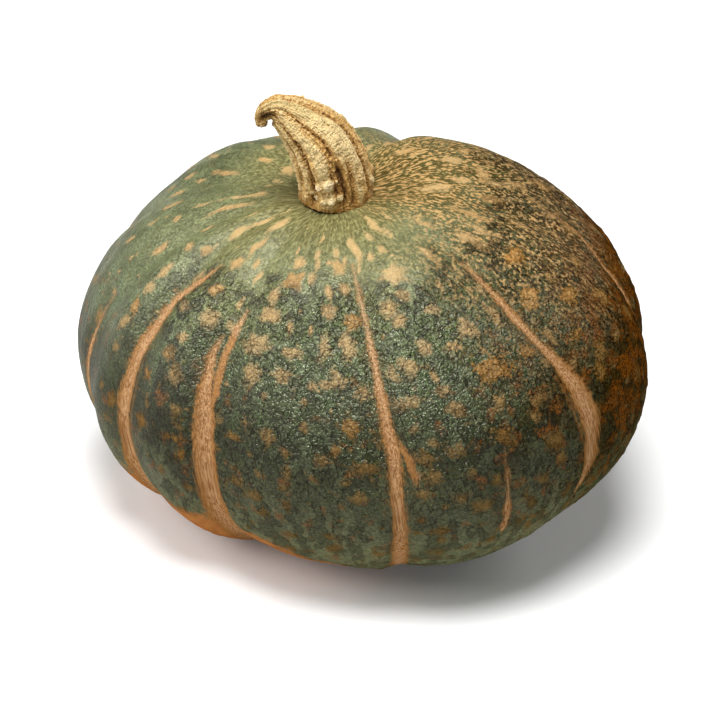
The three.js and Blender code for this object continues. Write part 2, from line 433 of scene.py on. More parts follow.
MARKS = (
    # Crown and the lobes in front of it
    Mark(-20, 66, 4.5, 5.0, 0.5), Mark(-10, 66, 2.6, 5.5, 0.4), Mark(-1, 70, 2.2, 4.5, 0.3),
    Mark(0, 66, 5.5, 6.5, 0.7), Mark(21, 74, 2.2, 6.0, 0.2), Mark(29, 77, 2.4, 15.0, 0.4),
    Mark(23, 69, 3.2, 4.5, 0.3), Mark(16, 68, 2.4, 5.0, 0.3), Mark(-20, 61, 7.0, 7.0, 0.8),
    Mark(22, 62, 8.5, 6.5, 0.3), Mark(22, 57, 4.5, 4.5, 0.3), Mark(-26, 56, 4.5, 7.5, 0.2),
    Mark(-4, 59, 2.8, 5.5, 0.5), Mark(2, 60, 4.5, 4.5, 0.5), Mark(-4, 54, 5.0, 5.5, 0.4),
    Mark(4, 52, 5.5, 6.0, 0.9), Mark(-25, 51, 7.5, 7.5, 0.4), Mark(16, 54, 6.5, 6.5, 0.2),
    Mark(18, 51, 5.5, 5.5, 0.3), Mark(28, 52, 5.5, 4.5, 0.2), Mark(-16, 43, 7.5, 4.5, 0.2),
    Mark(-26, 43, 11.0, 8.5, 0.1), Mark(-26, 36, 6.5, 7.5, 0.2), Mark(-17, 37, 6.5, 5.5, 0.2),
    Mark(-5, 46, 4.5, 8.5, 0.2), Mark(1, 46, 5.0, 9.5, 0.1), Mark(-2, 37, 8.0, 6.5, 0.1),
    Mark(4, 34, 5.5, 6.5, 0.6), Mark(21, 44, 4.5, 6.5, 0.2), Mark(16, 40, 5.5, 5.5, 0.2),
    Mark(12, 38, 5.5, 6.5, 0.3), Mark(13, 31, 9.0, 4.5, 0.1), Mark(-38, 60, 1.6, 7.0, 0.1),
    # Left side
    Mark(-144, 66, 3.2, 6.5, 0.5), Mark(-134, 71, 3.2, 5.5, 0.8), Mark(-131, 78, 4.5, 5.5, 0.7),
    Mark(-121, 64, 2.9, 11.0, 0.6), Mark(-118, 58, 3.0, 5.0, 0.5), Mark(-120, 46, 2.5, 8.0, 0.6),
    Mark(-96, 69, 1.5, 11.0, 0.3), Mark(-87, 70, 2.4, 18.0, 0.6), Mark(-104, 55, 2.8, 10.0, 0.5),
    Mark(-93, 58, 3.2, 4.2, 0.5), Mark(-98, 51, 2.0, 6.5, 0.3), Mark(-64, 73, 1.5, 12.0, 0.5),
    Mark(-117, 78, 2.2, 4.6, 0.3), Mark(-109, 77, 2.2, 3.2, 0.3), Mark(-65, 68, 2.6, 9.0, 0.5),
    Mark(-79, 64, 2.2, 6.5, 0.3), Mark(-73, 58, 3.8, 4.2, 0.5), Mark(-67, 60, 3.6, 5.0, 0.5),
    Mark(-47, 67, 2.0, 11.0, 0.7), Mark(-84, 52, 3.2, 7.5, 0.5), Mark(-49, 61, 3.4, 6.0, 0.8),
    Mark(-42, 63, 2.8, 5.5, 0.5), Mark(-71, 50, 3.2, 8.0, 0.3), Mark(-89, 44, 2.0, 6.5, 0.3),
    Mark(-61, 54, 3.8, 5.5, 0.4), Mark(-49, 53, 5.0, 5.0, 0.8), Mark(-71, 45, 3.2, 5.5, 0.2),
    Mark(-71, 39, 5.0, 6.5, 0.9), Mark(-71, 34, 4.0, 6.0, 0.5), Mark(-56, 46, 6.0, 5.0, 0.1),
    Mark(-45, 46, 6.0, 7.0, 0.2), Mark(-38, 46, 4.6, 5.0, 0.1), Mark(-85, 35, 2.8, 4.6, 0.5),
    Mark(-85, 27, 2.8, 6.5, 0.5), Mark(-97, 44, 2.2, 5.5, 0.3), Mark(-50, 39, 5.0, 4.5, 0.2),
    Mark(-52, 34, 5.0, 5.5, 0.8), Mark(-56, 26, 4.5, 5.0, 1.0), Mark(-48, 30, 6.0, 7.5, 0.3),
    Mark(-46, 20, 2.8, 9.0, 0.3), Mark(-54, 19, 2.6, 6.5, 0.2), Mark(-56, 13, 4.0, 8.0, 0.9),
    Mark(-67, 12, 4.0, 7.0, 0.9), Mark(-71, 14, 3.0, 7.0, 0.3), Mark(-46, 12, 6.0, 5.0, 0.9),
    Mark(-44, 8, 4.5, 6.5, 1.0), Mark(-70, 27, 4.5, 4.5, 0.4),
    # Low front
    Mark(-26, 23, 5.5, 5.5, 0.4), Mark(-30, 18, 7.0, 3.5, 0.9), Mark(-30, 4, 5.5, 5.5, 0.3),
    Mark(-25, 2, 6.5, 5.5, 0.2), Mark(-20, 21, 5.5, 6.5, 0.5), Mark(0, 26, 4.8, 8.5, 1.0),
    Mark(-4, 20, 3.4, 6.5, 0.9), Mark(-7, 17, 4.5, 5.0, 0.5), Mark(-10, 11, 4.5, 4.5, 0.4),
    Mark(2, 15, 8.0, 6.5, 0.7), Mark(0, 6, 6.5, 5.5, 0.4), Mark(-16, 12, 4.5, 6.5, 0.1),
    # Right front
    Mark(14, 17, 6.5, 5.5, 0.6), Mark(16, 11, 6.5, 7.5, 0.4), Mark(13, 6, 4.5, 4.5, 0.3),
    Mark(16, -7, 6.5, 7.5, 0.4), Mark(14, -19, 5.5, 5.5, 0.4), Mark(34, 45, 6.5, 6.5, 0.2),
    Mark(42, 45, 3.4, 8.5, 0.5), Mark(44, 34, 5.5, 4.5, 1.0), Mark(34, 34, 12.0, 8.5, 1.0),
    Mark(40, 23, 6.5, 3.6, 0.4), Mark(32, 26, 4.6, 6.5, 0.6), Mark(23, 28, 5.5, 4.5, 0.4),
    Mark(22, 32, 5.5, 3.6, 0.4), Mark(40, 11, 8.5, 7.5, 0.6), Mark(30, 18, 7.5, 6.5, 0.8),
    Mark(21, 18, 6.5, 5.5, 0.4), Mark(20, 4, 6.5, 6.5, 0.3), Mark(24, 0, 7.5, 6.5, 0.0),
    Mark(36, 2, 5.5, 5.5, 0.3), Mark(35, -12, 7.5, 3.4, 0.3), Mark(56, 30, 4.5, 4.5, 0.9),
    Mark(56, 19, 4.5, 8.0, 0.9), Mark(52, 11, 3.4, 8.0, 0.9), Mark(61, 52, 9.0, 6.0, 0.9),
    Mark(102, 60, 9.0, 5.0, 0.6), Mark(53, 43, 6.0, 5.0, 0.8), Mark(63, 37, 8.0, 5.0, 0.9),
    # Right shoulder
    Mark(132, 71, 4.0, 8.0, 0.7), Mark(112, 65, 4.0, 9.0, 0.3), Mark(98, 53, 5.0, 8.0, 0.5),
    Mark(88, 71, 3.0, 8.0, 0.3), Mark(86, 60, 3.4, 9.0, 0.6), Mark(92, 49, 4.0, 8.0, 0.5),
    Mark(76, 54, 4.0, 10.0, 0.5), Mark(57, 63, 3.4, 8.0, 0.3), Mark(57, 59, 3.6, 6.0, 0.3),
    Mark(87, 40, 4.5, 8.0, 0.7), Mark(88, 46, 3.6, 7.0, 0.5), Mark(84, 74, 2.6, 7.0, 0.4),
    Mark(62, 38, 6.5, 5.0, 0.9), Mark(54, 44, 6.0, 5.5, 0.9), Mark(73, 40, 4.5, 7.0, 0.7),
    Mark(43, 35, 6.0, 5.0, 0.9), Mark(34, 34, 10.0, 6.0, 1.0), Mark(59, 22, 5.0, 8.0, 0.8),
    Mark(70, 30, 5.0, 7.0, 0.8), Mark(75, 20, 5.0, 8.0, 0.9), Mark(66, 8, 6.0, 8.0, 0.9),
    Mark(104, 44, 4.5, 9.0, 0.6), Mark(120, 58, 4.0, 9.0, 0.5), Mark(96, 66, 3.4, 8.0, 0.4),
    # Low right
    Mark(26, -16, 5.0, 8.0, 0.3), Mark(22, -24, 6.0, 6.0, 0.3), Mark(10, -26, 4.0, 9.0, 0.2),
    Mark(34, -18, 5.0, 7.0, 0.3), Mark(42, -8, 5.0, 8.0, 0.4), Mark(44, -20, 5.0, 8.0, 0.4),
    Mark(2, -20, 5.0, 6.0, 0.3), Mark(-8, -16, 5.0, 7.0, 0.3), Mark(-18, -12, 5.0, 6.0, 0.3),
    Mark(33, -3, 5.0, 10.0, 0.2), Mark(32, -11, 6.0, 8.0, 0.2), Mark(15, -19, 4.0, 9.0, 0.2),
)


@dataclass
class Skin:
    """The fruit's surface: angles in radians and lengths in millimetres.

    "Out" is the distance from the fruit's axis. Growth coordinates say where on the
    skin a point is, stretched as the skin was when it grew.
    """

    azimuth: np.ndarray
    polar: np.ndarray
    out: np.ndarray
    points: np.ndarray
    normals: np.ndarray
    growth: np.ndarray


@dataclass(frozen=True)
class FruitForm:
    """The fruit's shape: a leaning, lobed and flattened round body, in millimetres.

    Out from the axis it is the radius times a power of the polar angle's sine, and
    up the axis a height times a power of its cosine. A few waves make the girth oval:
    each has its number of crests, its share of the radius and one crest's azimuth.
    Lobes rise along the surface's normal, and a bell-shaped dimple sinks each end.
    Growth coordinates turn about a core, so that they don't pinch at the axis.
    """

    radius: float = 100.0
    crown_height: float = 75.5
    base_depth: float = 68.5
    girth_power: float = 0.93
    height_power: float = 0.98
    lean_left: float = 7.0
    lean_front: float = 6.4
    lobe_power: float = 1.4
    lobe_fade: float = 66.0
    fade_power: float = 0.9
    furrow_width: float = 7.5
    dimple_depth: float = 5.0
    stem_dimple: float = 24.0
    blossom_dimple: float = 26.0
    ovals: tuple[tuple[int, float, float], ...] = (
        (1, 0.02, 24), (2, 0.10, 67), (3, 0.014, 19),
    )
    growth_core: float = 38.0
    end_growth: float = 0.42
    growth_ends: tuple[float, float] = (18.0, 80.0)

    def bulge(self, along: np.ndarray) -> np.ndarray:
        """Height of a lobe of rise 1: a power of the sine over its span."""
        return np.abs(np.sin(np.pi * along)) ** self.lobe_power

    def lean(self, vectors: np.ndarray) -> np.ndarray:
        """Leans vectors to the left about Y, then to the front about X.

        Args:
            vectors: Rows in the upright fruit's frame.

        Returns:
            Rows in the frame of the resting fruit.
        """
        cos_left, cos_front = np.cos(np.radians([self.lean_left, self.lean_front]))
        sin_left, sin_front = np.sin(np.radians([self.lean_left, self.lean_front]))
        about_y = [[cos_left, 0, -sin_left], [0, 1, 0], [sin_left, 0, cos_left]]
        about_x = [[1, 0, 0], [0, cos_front, -sin_front], [0, sin_front, cos_front]]
        return vectors @ (np.array(about_x) @ np.array(about_y)).T

    def profile(self, polar: np.ndarray) -> tuple[np.ndarray, np.ndarray]:
        """The plain body's outline.

        Args:
            polar: Angles from the crown in radians.

        Returns:
            Distance out from the axis, and height above the girth.
        """
        sine, cosine = np.sin(polar), np.cos(polar)
        half = np.where(cosine > 0, self.crown_height, self.base_depth)
        out = self.radius * np.abs(sine) ** self.girth_power
        return out, half * np.sign(cosine) * np.abs(cosine) ** self.height_power

    def growth_length(self, polar: np.ndarray) -> np.ndarray:
        """Length from the crown in growth coordinates.

        The outline's steps are added up, and count for less near both ends, where
        the skin stretched most: so markings come out long there.

        Args:
            polar: Angles from the crown in radians.

        Returns:
            The length in millimetres.
        """
        steps = np.linspace(0.0, np.pi, 721)
        out, height = self.profile(steps)
        middle = smoothstep(*self.growth_ends, out[1:])
        stretch = self.end_growth + (1.0 - self.end_growth) * middle
        grown = np.hypot(np.diff(out), np.diff(height)) * stretch
        return np.interp(polar, steps, np.concatenate([[0.0], np.cumsum(grown)]))

    def skin(self, directions: np.ndarray) -> Skin:
        """Places points of the unit sphere on the fruit.

        Args:
            directions: Unit vectors in the upright fruit's frame.

        Returns:
            The surface there, leaning, about the middle of the fruit.
        """
        azimuth = np.arctan2(directions[:, 0], -directions[:, 1])
        polar = np.arccos(np.clip(directions[:, 2], -1.0, 1.0))
        sine, cosine = np.sin(polar), np.cos(polar)
        half = np.where(cosine > 0, self.crown_height, self.base_depth)
        out, up = self.profile(polar)
        for waves, share, crest in self.ovals:
            swing = np.cos(waves * (azimuth - np.radians(crest)))
            out = out + self.radius * sine**self.girth_power * share * swing
        length = np.hypot(sine * half, cosine * self.radius)
        slope_out, slope_up = sine * half / length, cosine * self.radius / length
        fade = np.minimum(1.0, out / self.lobe_fade) ** self.fade_power
        rise = ridge_rise(LOBES, azimuth, self.bulge, self.furrow_width) * fade
        out, up = out + rise * slope_out, up + rise * slope_up
        reach = np.where(cosine > 0, self.stem_dimple, self.blossom_dimple)
        up = up - np.sign(cosine) * self.dimple_depth * np.exp(-((out / reach) ** 2))
        across, ahead = np.sin(azimuth), -np.cos(azimuth)
        turn = np.hypot(out, self.growth_core)
        return Skin(
            azimuth=azimuth,
            polar=polar,
            out=out,
            points=self.lean(np.column_stack([out * across, out * ahead, up])),
            normals=self.lean(
                np.column_stack([slope_out * across, slope_out * ahead, slope_up])
            ),
            growth=np.column_stack([turn * across, turn * ahead, self.growth_length(polar)]),
        )


def unit_vectors(azimuth: np.ndarray, latitude: np.ndarray) -> np.ndarray:
    """Directions on the upright fruit.

    Args:
        azimuth: Azimuths in radians.
        latitude: Latitudes in radians.

    Returns:
        Rows of unit vectors.
    """
    across, ahead = np.sin(azimuth), -np.cos(azimuth)
    level = np.cos(latitude)
    return np.column_stack([across * level, ahead * level, np.sin(latitude)])


def cube_sphere(cells: int) -> tuple[np.ndarray, np.ndarray]:
    """A welded, even grid of points over the unit sphere.

    Each side of a cube gets a grid whose steps are tangents of even angles. Its
    points are drawn in to the sphere, and points that fall together become one.

    Args:
        cells: Squares along each of the twelve cube edges.

    Returns:
        The points, and rows of four point numbers, wound outwards.
    """
    steps = np.tan(np.linspace(-np.pi / 4, np.pi / 4, cells + 1))
    across, along = np.meshgrid(steps, steps, indexing="ij")
    side = np.stack([np.ones_like(across), across, along], axis=-1).reshape(-1, 3)
    number = np.arange(len(side)).reshape(cells + 1, cells + 1)
    corners = [number[:-1, :-1], number[1:, :-1], number[1:, 1:], number[:-1, 1:]]
    quads = np.stack(corners, axis=-1).reshape(-1, 4)
    flips = ((1, 1, 1), (-1, -1, 1))
    sides = [np.roll(side * flip, turn, axis=1) for flip in flips for turn in range(3)]
    faces = [quads + i * len(side) for i in range(len(sides))]
    every = np.concatenate(sides)
    _, first, back = np.unique(
        np.round(every, 6), axis=0, return_index=True, return_inverse=True
    )
    return unit(every[first]), back.ravel()[np.concatenate(faces)]


@dataclass(frozen=True)
class Zones:
    """Where the rind's zones are: in each pair one has faded out, then it is full.

    The olive crown is measured in millimetres from the axis, and the rest in degrees:
    the russet side and the rough, warty front from their own azimuths, and their
    upper and lower edges in latitude. Below the girth the distance from the axis
    counts many times over, which keeps the olive zone on top.
    """

    olive: tuple[float, float] = (66.0, 18.0)
    russet_azimuth: float = 98.0
    russet: tuple[float, float] = (78.0, 30.0)
    russet_foot: tuple[float, float] = (-42.0, 12.0)
    rough_azimuth: float = 32.0
    rough: tuple[float, float] = (116.0, 52.0)
    rough_top: tuple[float, float] = (66.0, 52.0)
    rough_foot: tuple[float, float] = (-30.0, 16.0)
    below_girth: float = 9.0
    drift_size: float = 34.0
    fine_size: float = 13.0

    def shares(self, skin: Skin) -> np.ndarray:
        """How much of each zone every point has.

        A zone eases from 1 to 0 with distance from its middle, and noise of two
        sizes makes its edge wander.

        Args:
            skin: The fruit's surface.

        Returns:
            Rows of olive, russet and rough, from 0 to 1.
        """
        latitude = 90.0 - np.degrees(skin.polar)
        drift = LatticeNoise(Seed.ZONE_DRIFT)(skin.growth, self.drift_size)
        fine = LatticeNoise(Seed.ZONE_EDGE)(skin.growth, self.fine_size)
        from_axis = skin.out * np.where(latitude > 0, 1.0, self.below_girth)
        olive = smoothstep(*self.olive, from_axis + 16.0 * drift)
        side = np.degrees(wrap(skin.azimuth - np.radians(self.russet_azimuth)))
        russet = smoothstep(*self.russet, np.abs(side) + 11.0 * drift + 6.0 * fine)
        foot = smoothstep(*self.russet_foot, latitude + 16.0 * drift + 8.0 * fine)
        russet *= 0.2 + 0.8 * foot
        around = np.degrees(wrap(skin.azimuth - np.radians(self.rough_azimuth)))
        rough = smoothstep(*self.rough, np.abs(around) + 14.0 * drift)
        rough *= smoothstep(*self.rough_top, latitude + 6.0 * fine)
        rough *= 0.5 + 0.5 * smoothstep(*self.rough_foot, latitude + 8.0 * drift)
        return np.column_stack([olive, russet, rough])


@dataclass(frozen=True)
class Relief:
    """Everything finer than the lobes: in each pair a size and a height in millimetres.

    The pleats are counted round the stem. They are highest at their own distance
    from the axis, and fade both ways from there.
    """

    swells: tuple[float, float] = (42.0, 0.8)
    hollows: tuple[float, float] = (17.0, 0.5)
    knobs: tuple[float, float] = (7.5, 0.55)
    warts: tuple[float, float] = (4.2, 0.16)
    fleck_height: float = 0.4
    groove: tuple[float, float] = (4.0, 0.75)
    pleats: int = 26
    pleat_height: float = 0.28
    pleat_place: float = 15.0
    pleat_reach: float = 17.0
    scar_radius: float = 7.5
    scar_rim: tuple[float, float] = (1.6, 0.8)

    def height(
        self, skin: Skin, zones: np.ndarray, bands: np.ndarray, blotches: np.ndarray
    ) -> np.ndarray:
        """Rise of the finer relief.

        It is the sum of two sizes of swell; of knobs and warts, strongest where the
        skin is rough and weakest inside stripes; of raised flecks; of a groove along
        each stripe; of pleats round the stem; and of a ring round the blossom scar.

        Args:
            skin: The fruit's surface.
            zones: Its olive, russet and rough zones.
            bands: Its stripes.
            blotches: Its flecks.

        Returns:
            Millimetres outwards.
        """
        (swell_size, swell), (hollow_size, hollow) = self.swells, self.hollows
        (knob_size, knob), (wart_size, wart) = self.knobs, self.warts
        swells = swell * LatticeNoise(Seed.SWELLS)(skin.points, swell_size)
        swells += hollow * LatticeNoise(Seed.HOLLOWS)(skin.points, hollow_size)
        knobs = np.abs(LatticeNoise(Seed.KNOBS)(skin.growth, knob_size))
        warts = 1.0 - 2.0 * np.abs(LatticeNoise(Seed.WARTS)(skin.growth, wart_size))
        rough = zones[:, 2]
        texture = (knob * knobs + wart * warts) * (0.2 + 0.8 * rough)
        flecks = smoothstep(-0.1, 0.45, blotches[:, 0]) * rough
        texture = texture + self.fleck_height * flecks
        inside = smoothstep(1.0, -1.0, np.abs(bands[:, 0]) - bands[:, 1])
        groove_width, groove_depth = self.groove
        across = bands[:, 0] / groove_width
        groove = -groove_depth * np.exp(-(across**2)) * (bands[:, 1] > 0.4)
        above = skin.polar < np.pi / 2.0
        from_pleats = (skin.out - self.pleat_place) / self.pleat_reach
        near_stem = np.exp(-(from_pleats**2)) * above
        wander = 0.35 * LatticeNoise(Seed.PLEATS)(skin.growth, 30.0)
        folds = np.cos(self.pleats * (skin.azimuth + wander))
        pleats = self.pleat_height * near_stem * folds
        rim_width, rim_height = self.scar_rim
        from_rim = (skin.out - self.scar_radius) / rim_width
        scar = rim_height * np.exp(-(from_rim**2)) * ~above
        fine = texture * (1.0 - 0.8 * inside) + groove + pleats
        fine_fade = smoothstep(3.0, 12.0, skin.out)
        return swells * smoothstep(10.0, 40.0, skin.out) + fine * fine_fade + scar


@dataclass
class Fruit:
    """The fruit's visible body, with its relief and the layers its rind reads.

    Lengths are in millimetres, and places in degrees of azimuth and latitude.
    """

    form: FruitForm
    cells: int = 128
    belly_softness: float = 2.0
    stripe_reach: float = 9.0
    fleck_tries: int = 2200
    fleck_least: float = 1.6
    fleck_spread: float = 3.6
    fleck_gap: float = 4.6
    fleck_scale: float = 1.25
    fleck_reach: float = 18.0
    fleck_push: float = 5.0
    zones: Zones = Zones()
    finer: Relief = Relief()
    spot_place: tuple[float, float] = (-58.0, -52.0)
    spot_reach: float = 38.0
    spot_edge: float = 10.0

    def bands(self, skin: Skin, stripes: Iterable[Stripe]) -> np.ndarray:
        """Distance to the nearest stripe's centreline, its half width and warmth.

        Args:
            skin: The fruit's surface.
            stripes: The stripes to measure.

        Returns:
            Rows of signed distance and half width in millimetres, and warmth. The
            half width is below 0 where no stripe is near.
        """
        latitude = 90.0 - np.degrees(skin.polar)
        best = np.tile([self.stripe_reach, -1.0, 0.0], (len(latitude), 1))
        for stripe in stripes:
            rows = np.array(stripe.rows)[::-1]
            centre = np.interp(latitude, rows[:, 0], np.unwrap(rows[:, 1], period=360.0))
            half = np.interp(latitude, rows[:, 0], rows[:, 2], left=-1.0, right=-1.0)
            side = wrap(skin.azimuth - np.radians(centre)) * skin.out
            nearer = (np.abs(side) < np.abs(best[:, 0])) & (half > 0.0)
            mine = np.column_stack([side, half, np.full(len(side), stripe.warmth)])
            best = np.where(nearer[:, None], mine, best)
        best[np.abs(best[:, 0]) > 0.8 * self.stripe_reach, 1] = -1.0
        return best

    def scattered(self) -> list[Mark]:
        """Random flecks between the placed ones.

        Most are near the least width. From the upper shoulder to the stem they get
        narrower, longer and closer together. One that lands on another is dropped.

        Returns:
            The placed flecks, then each random one that keeps clear of the others.
        """
        random = np.random.default_rng(Seed.FLECKS)
        kept = list(MARKS)
        places = np.radians([[mark.azimuth, mark.latitude] for mark in MARKS])
        aims = unit_vectors(*places.T)
        for _ in range(self.fleck_tries):
            azimuth = random.uniform(-180.0, 180.0)
            latitude = np.degrees(np.arcsin(random.uniform(-0.86, 0.985)))
            width = self.fleck_least + self.fleck_spread * random.random() ** 1.6
            stretch, warmth = random.uniform(0.6, 1.5), random.uniform(0.0, 0.6)
            aim = unit_vectors(np.radians([azimuth]), np.radians([latitude]))
            climb = float(smoothstep(38.0, 72.0, np.array(latitude)))
            gap = (width + self.fleck_gap) * (1.0 - 0.45 * climb) / self.form.radius
            if np.linalg.norm(aims - aim, axis=1).min() < gap:
                continue
            aims = np.concatenate([aims, aim])
            size = (width * (1.0 - 0.55 * climb), width * stretch * (1.0 + 1.2 * climb))
            kept.append(Mark(azimuth, latitude, *size, warmth))
        return kept

    def blotches(self, skin: Skin) -> np.ndarray:
        """How far inside the nearest fleck each point lies, and its warmth.

        A fleck is an ellipse whose edge waves a few times around it, on skin that
        is pushed about by noise.

        Args:
            skin: The fruit's surface.

        Returns:
            Rows of depth, 1 at a fleck's middle and 0 at its edge, and warmth.
        """
        latitude = 90.0 - np.degrees(skin.polar)
        push_across = LatticeNoise(Seed.FLECKS)(skin.growth, self.fleck_push)
        push_along = 1.3 * LatticeNoise(Seed.FLECK_PUSH)(skin.growth, self.fleck_push)
        best = np.tile([-1.0, 0.0], (len(latitude), 1))
        random = np.random.default_rng(Seed.FLECK_EDGES)
        for mark in self.scattered():
            waves, start = random.integers(4, 9), random.uniform(0.0, 2.0 * np.pi)
            wave_depth = random.uniform(0.08, 0.28) * min(1.0, mark.width / mark.height)
            near = np.flatnonzero(np.abs(latitude - mark.latitude) < self.fleck_reach)
            turn = wrap(skin.azimuth[near] - np.radians(mark.azimuth))
            rise = np.radians(latitude[near] - mark.latitude) * self.form.radius * 0.92
            width, height = mark.width * self.fleck_scale, mark.height * self.fleck_scale
            across = (turn * skin.out[near] + push_across[near]) / width
            along = (rise + push_along[near]) / height
            wave = 1.0 + wave_depth * np.cos(waves * np.arctan2(along, across) + start)
            depth = 1.0 - 2.0 * np.hypot(across, along) * wave
            deeper = depth > best[near, 0]
            best[near[deeper], 0] = depth[deeper]
            best[near[deeper], 1] = mark.warmth
        below = skin.polar > np.pi / 2.0
        scar = np.where(below, 1.0 - skin.out / self.finer.scar_radius, -1.0)
        best[:, 0] = np.maximum(best[:, 0], scar)
        return best

    def ground_spot(self, skin: Skin) -> np.ndarray:
        """The pale patch that lay on the ground.

        Args:
            skin: The fruit's surface.

        Returns:
            1 well inside it, 0 at its edge and -1 well outside.
        """
        azimuth, latitude = np.radians(self.spot_place)
        middle = unit_vectors(azimuth, latitude)[0]
        nearness = unit_vectors(skin.azimuth, np.pi / 2.0 - skin.polar) @ middle
        away = np.degrees(np.arccos(np.clip(nearness, -1.0, 1.0)))
        return np.clip((self.spot_reach - away) / self.spot_edge, -1.0, 1.0)

    def shift(self) -> np.ndarray:
        """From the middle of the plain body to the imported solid's place.

        Returns:
            The move in millimetres: boxes' middles level with each other, tops equal.
        """
        plain = self.form.skin(cube_sphere(self.cells)[0]).points
        low, high = (np.array(corner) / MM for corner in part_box("fruit"))
        shift = (low + high - plain.min(axis=0) - plain.max(axis=0)) / 2.0
        shift[2] = high[2] - plain[:, 2].max()
        return shift

    def crown(self) -> np.ndarray:
        """Where the stem grows from, in the shared frame."""
        return self.form.skin(np.array([[0.0, 0.0, 1.0]])).points[0] + self.shift()

    def build(self, material: bpy.types.Material) -> bpy.types.Object:
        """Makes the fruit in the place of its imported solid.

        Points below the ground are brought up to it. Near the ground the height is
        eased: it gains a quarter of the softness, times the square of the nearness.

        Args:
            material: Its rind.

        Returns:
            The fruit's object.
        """
        directions, quads = cube_sphere(self.cells)
        skin = self.form.skin(directions)
        zones, blotches = self.zones.shares(skin), self.blotches(skin)
        bands, strands = self.bands(skin, STRIPES), self.bands(skin, SIDE_STRANDS)
        rise = self.finer.height(skin, zones, bands, blotches)
        points = skin.points + rise[:, None] * skin.normals + self.shift()
        soft = self.belly_softness
        nearness = np.maximum(soft - np.abs(points[:, 2]), 0.0) / soft
        points[:, 2] = np.maximum(points[:, 2], 0.0) + nearness**2 * soft / 4.0
        layers = {
            "growth": skin.growth,
            "band": bands,
            "strand": strands,
            "mark": np.column_stack([blotches, self.ground_spot(skin)]),
            "zone": zones,
        }
        return MeshSheet(points, quads, layers=layers).build("fruit_rind", material)


@dataclass(frozen=True)
class RindSizes:
    """Real sizes of the rind's patterns, in millimetres."""

    fibre: float = 0.35
    speck: float = 0.5
    grain: float = 0.7
    thread: float = 0.7
    pebble: float = 1.1
    streak: float = 1.3
    wrinkle: float = 1.8
    bend: float = 2.4
    clay: float = 4.0
    plate: float = 5.0
    rust: float = 6.0
    vein: float = 6.0
    mottle: float = 7.0
    drift: float = 30.0


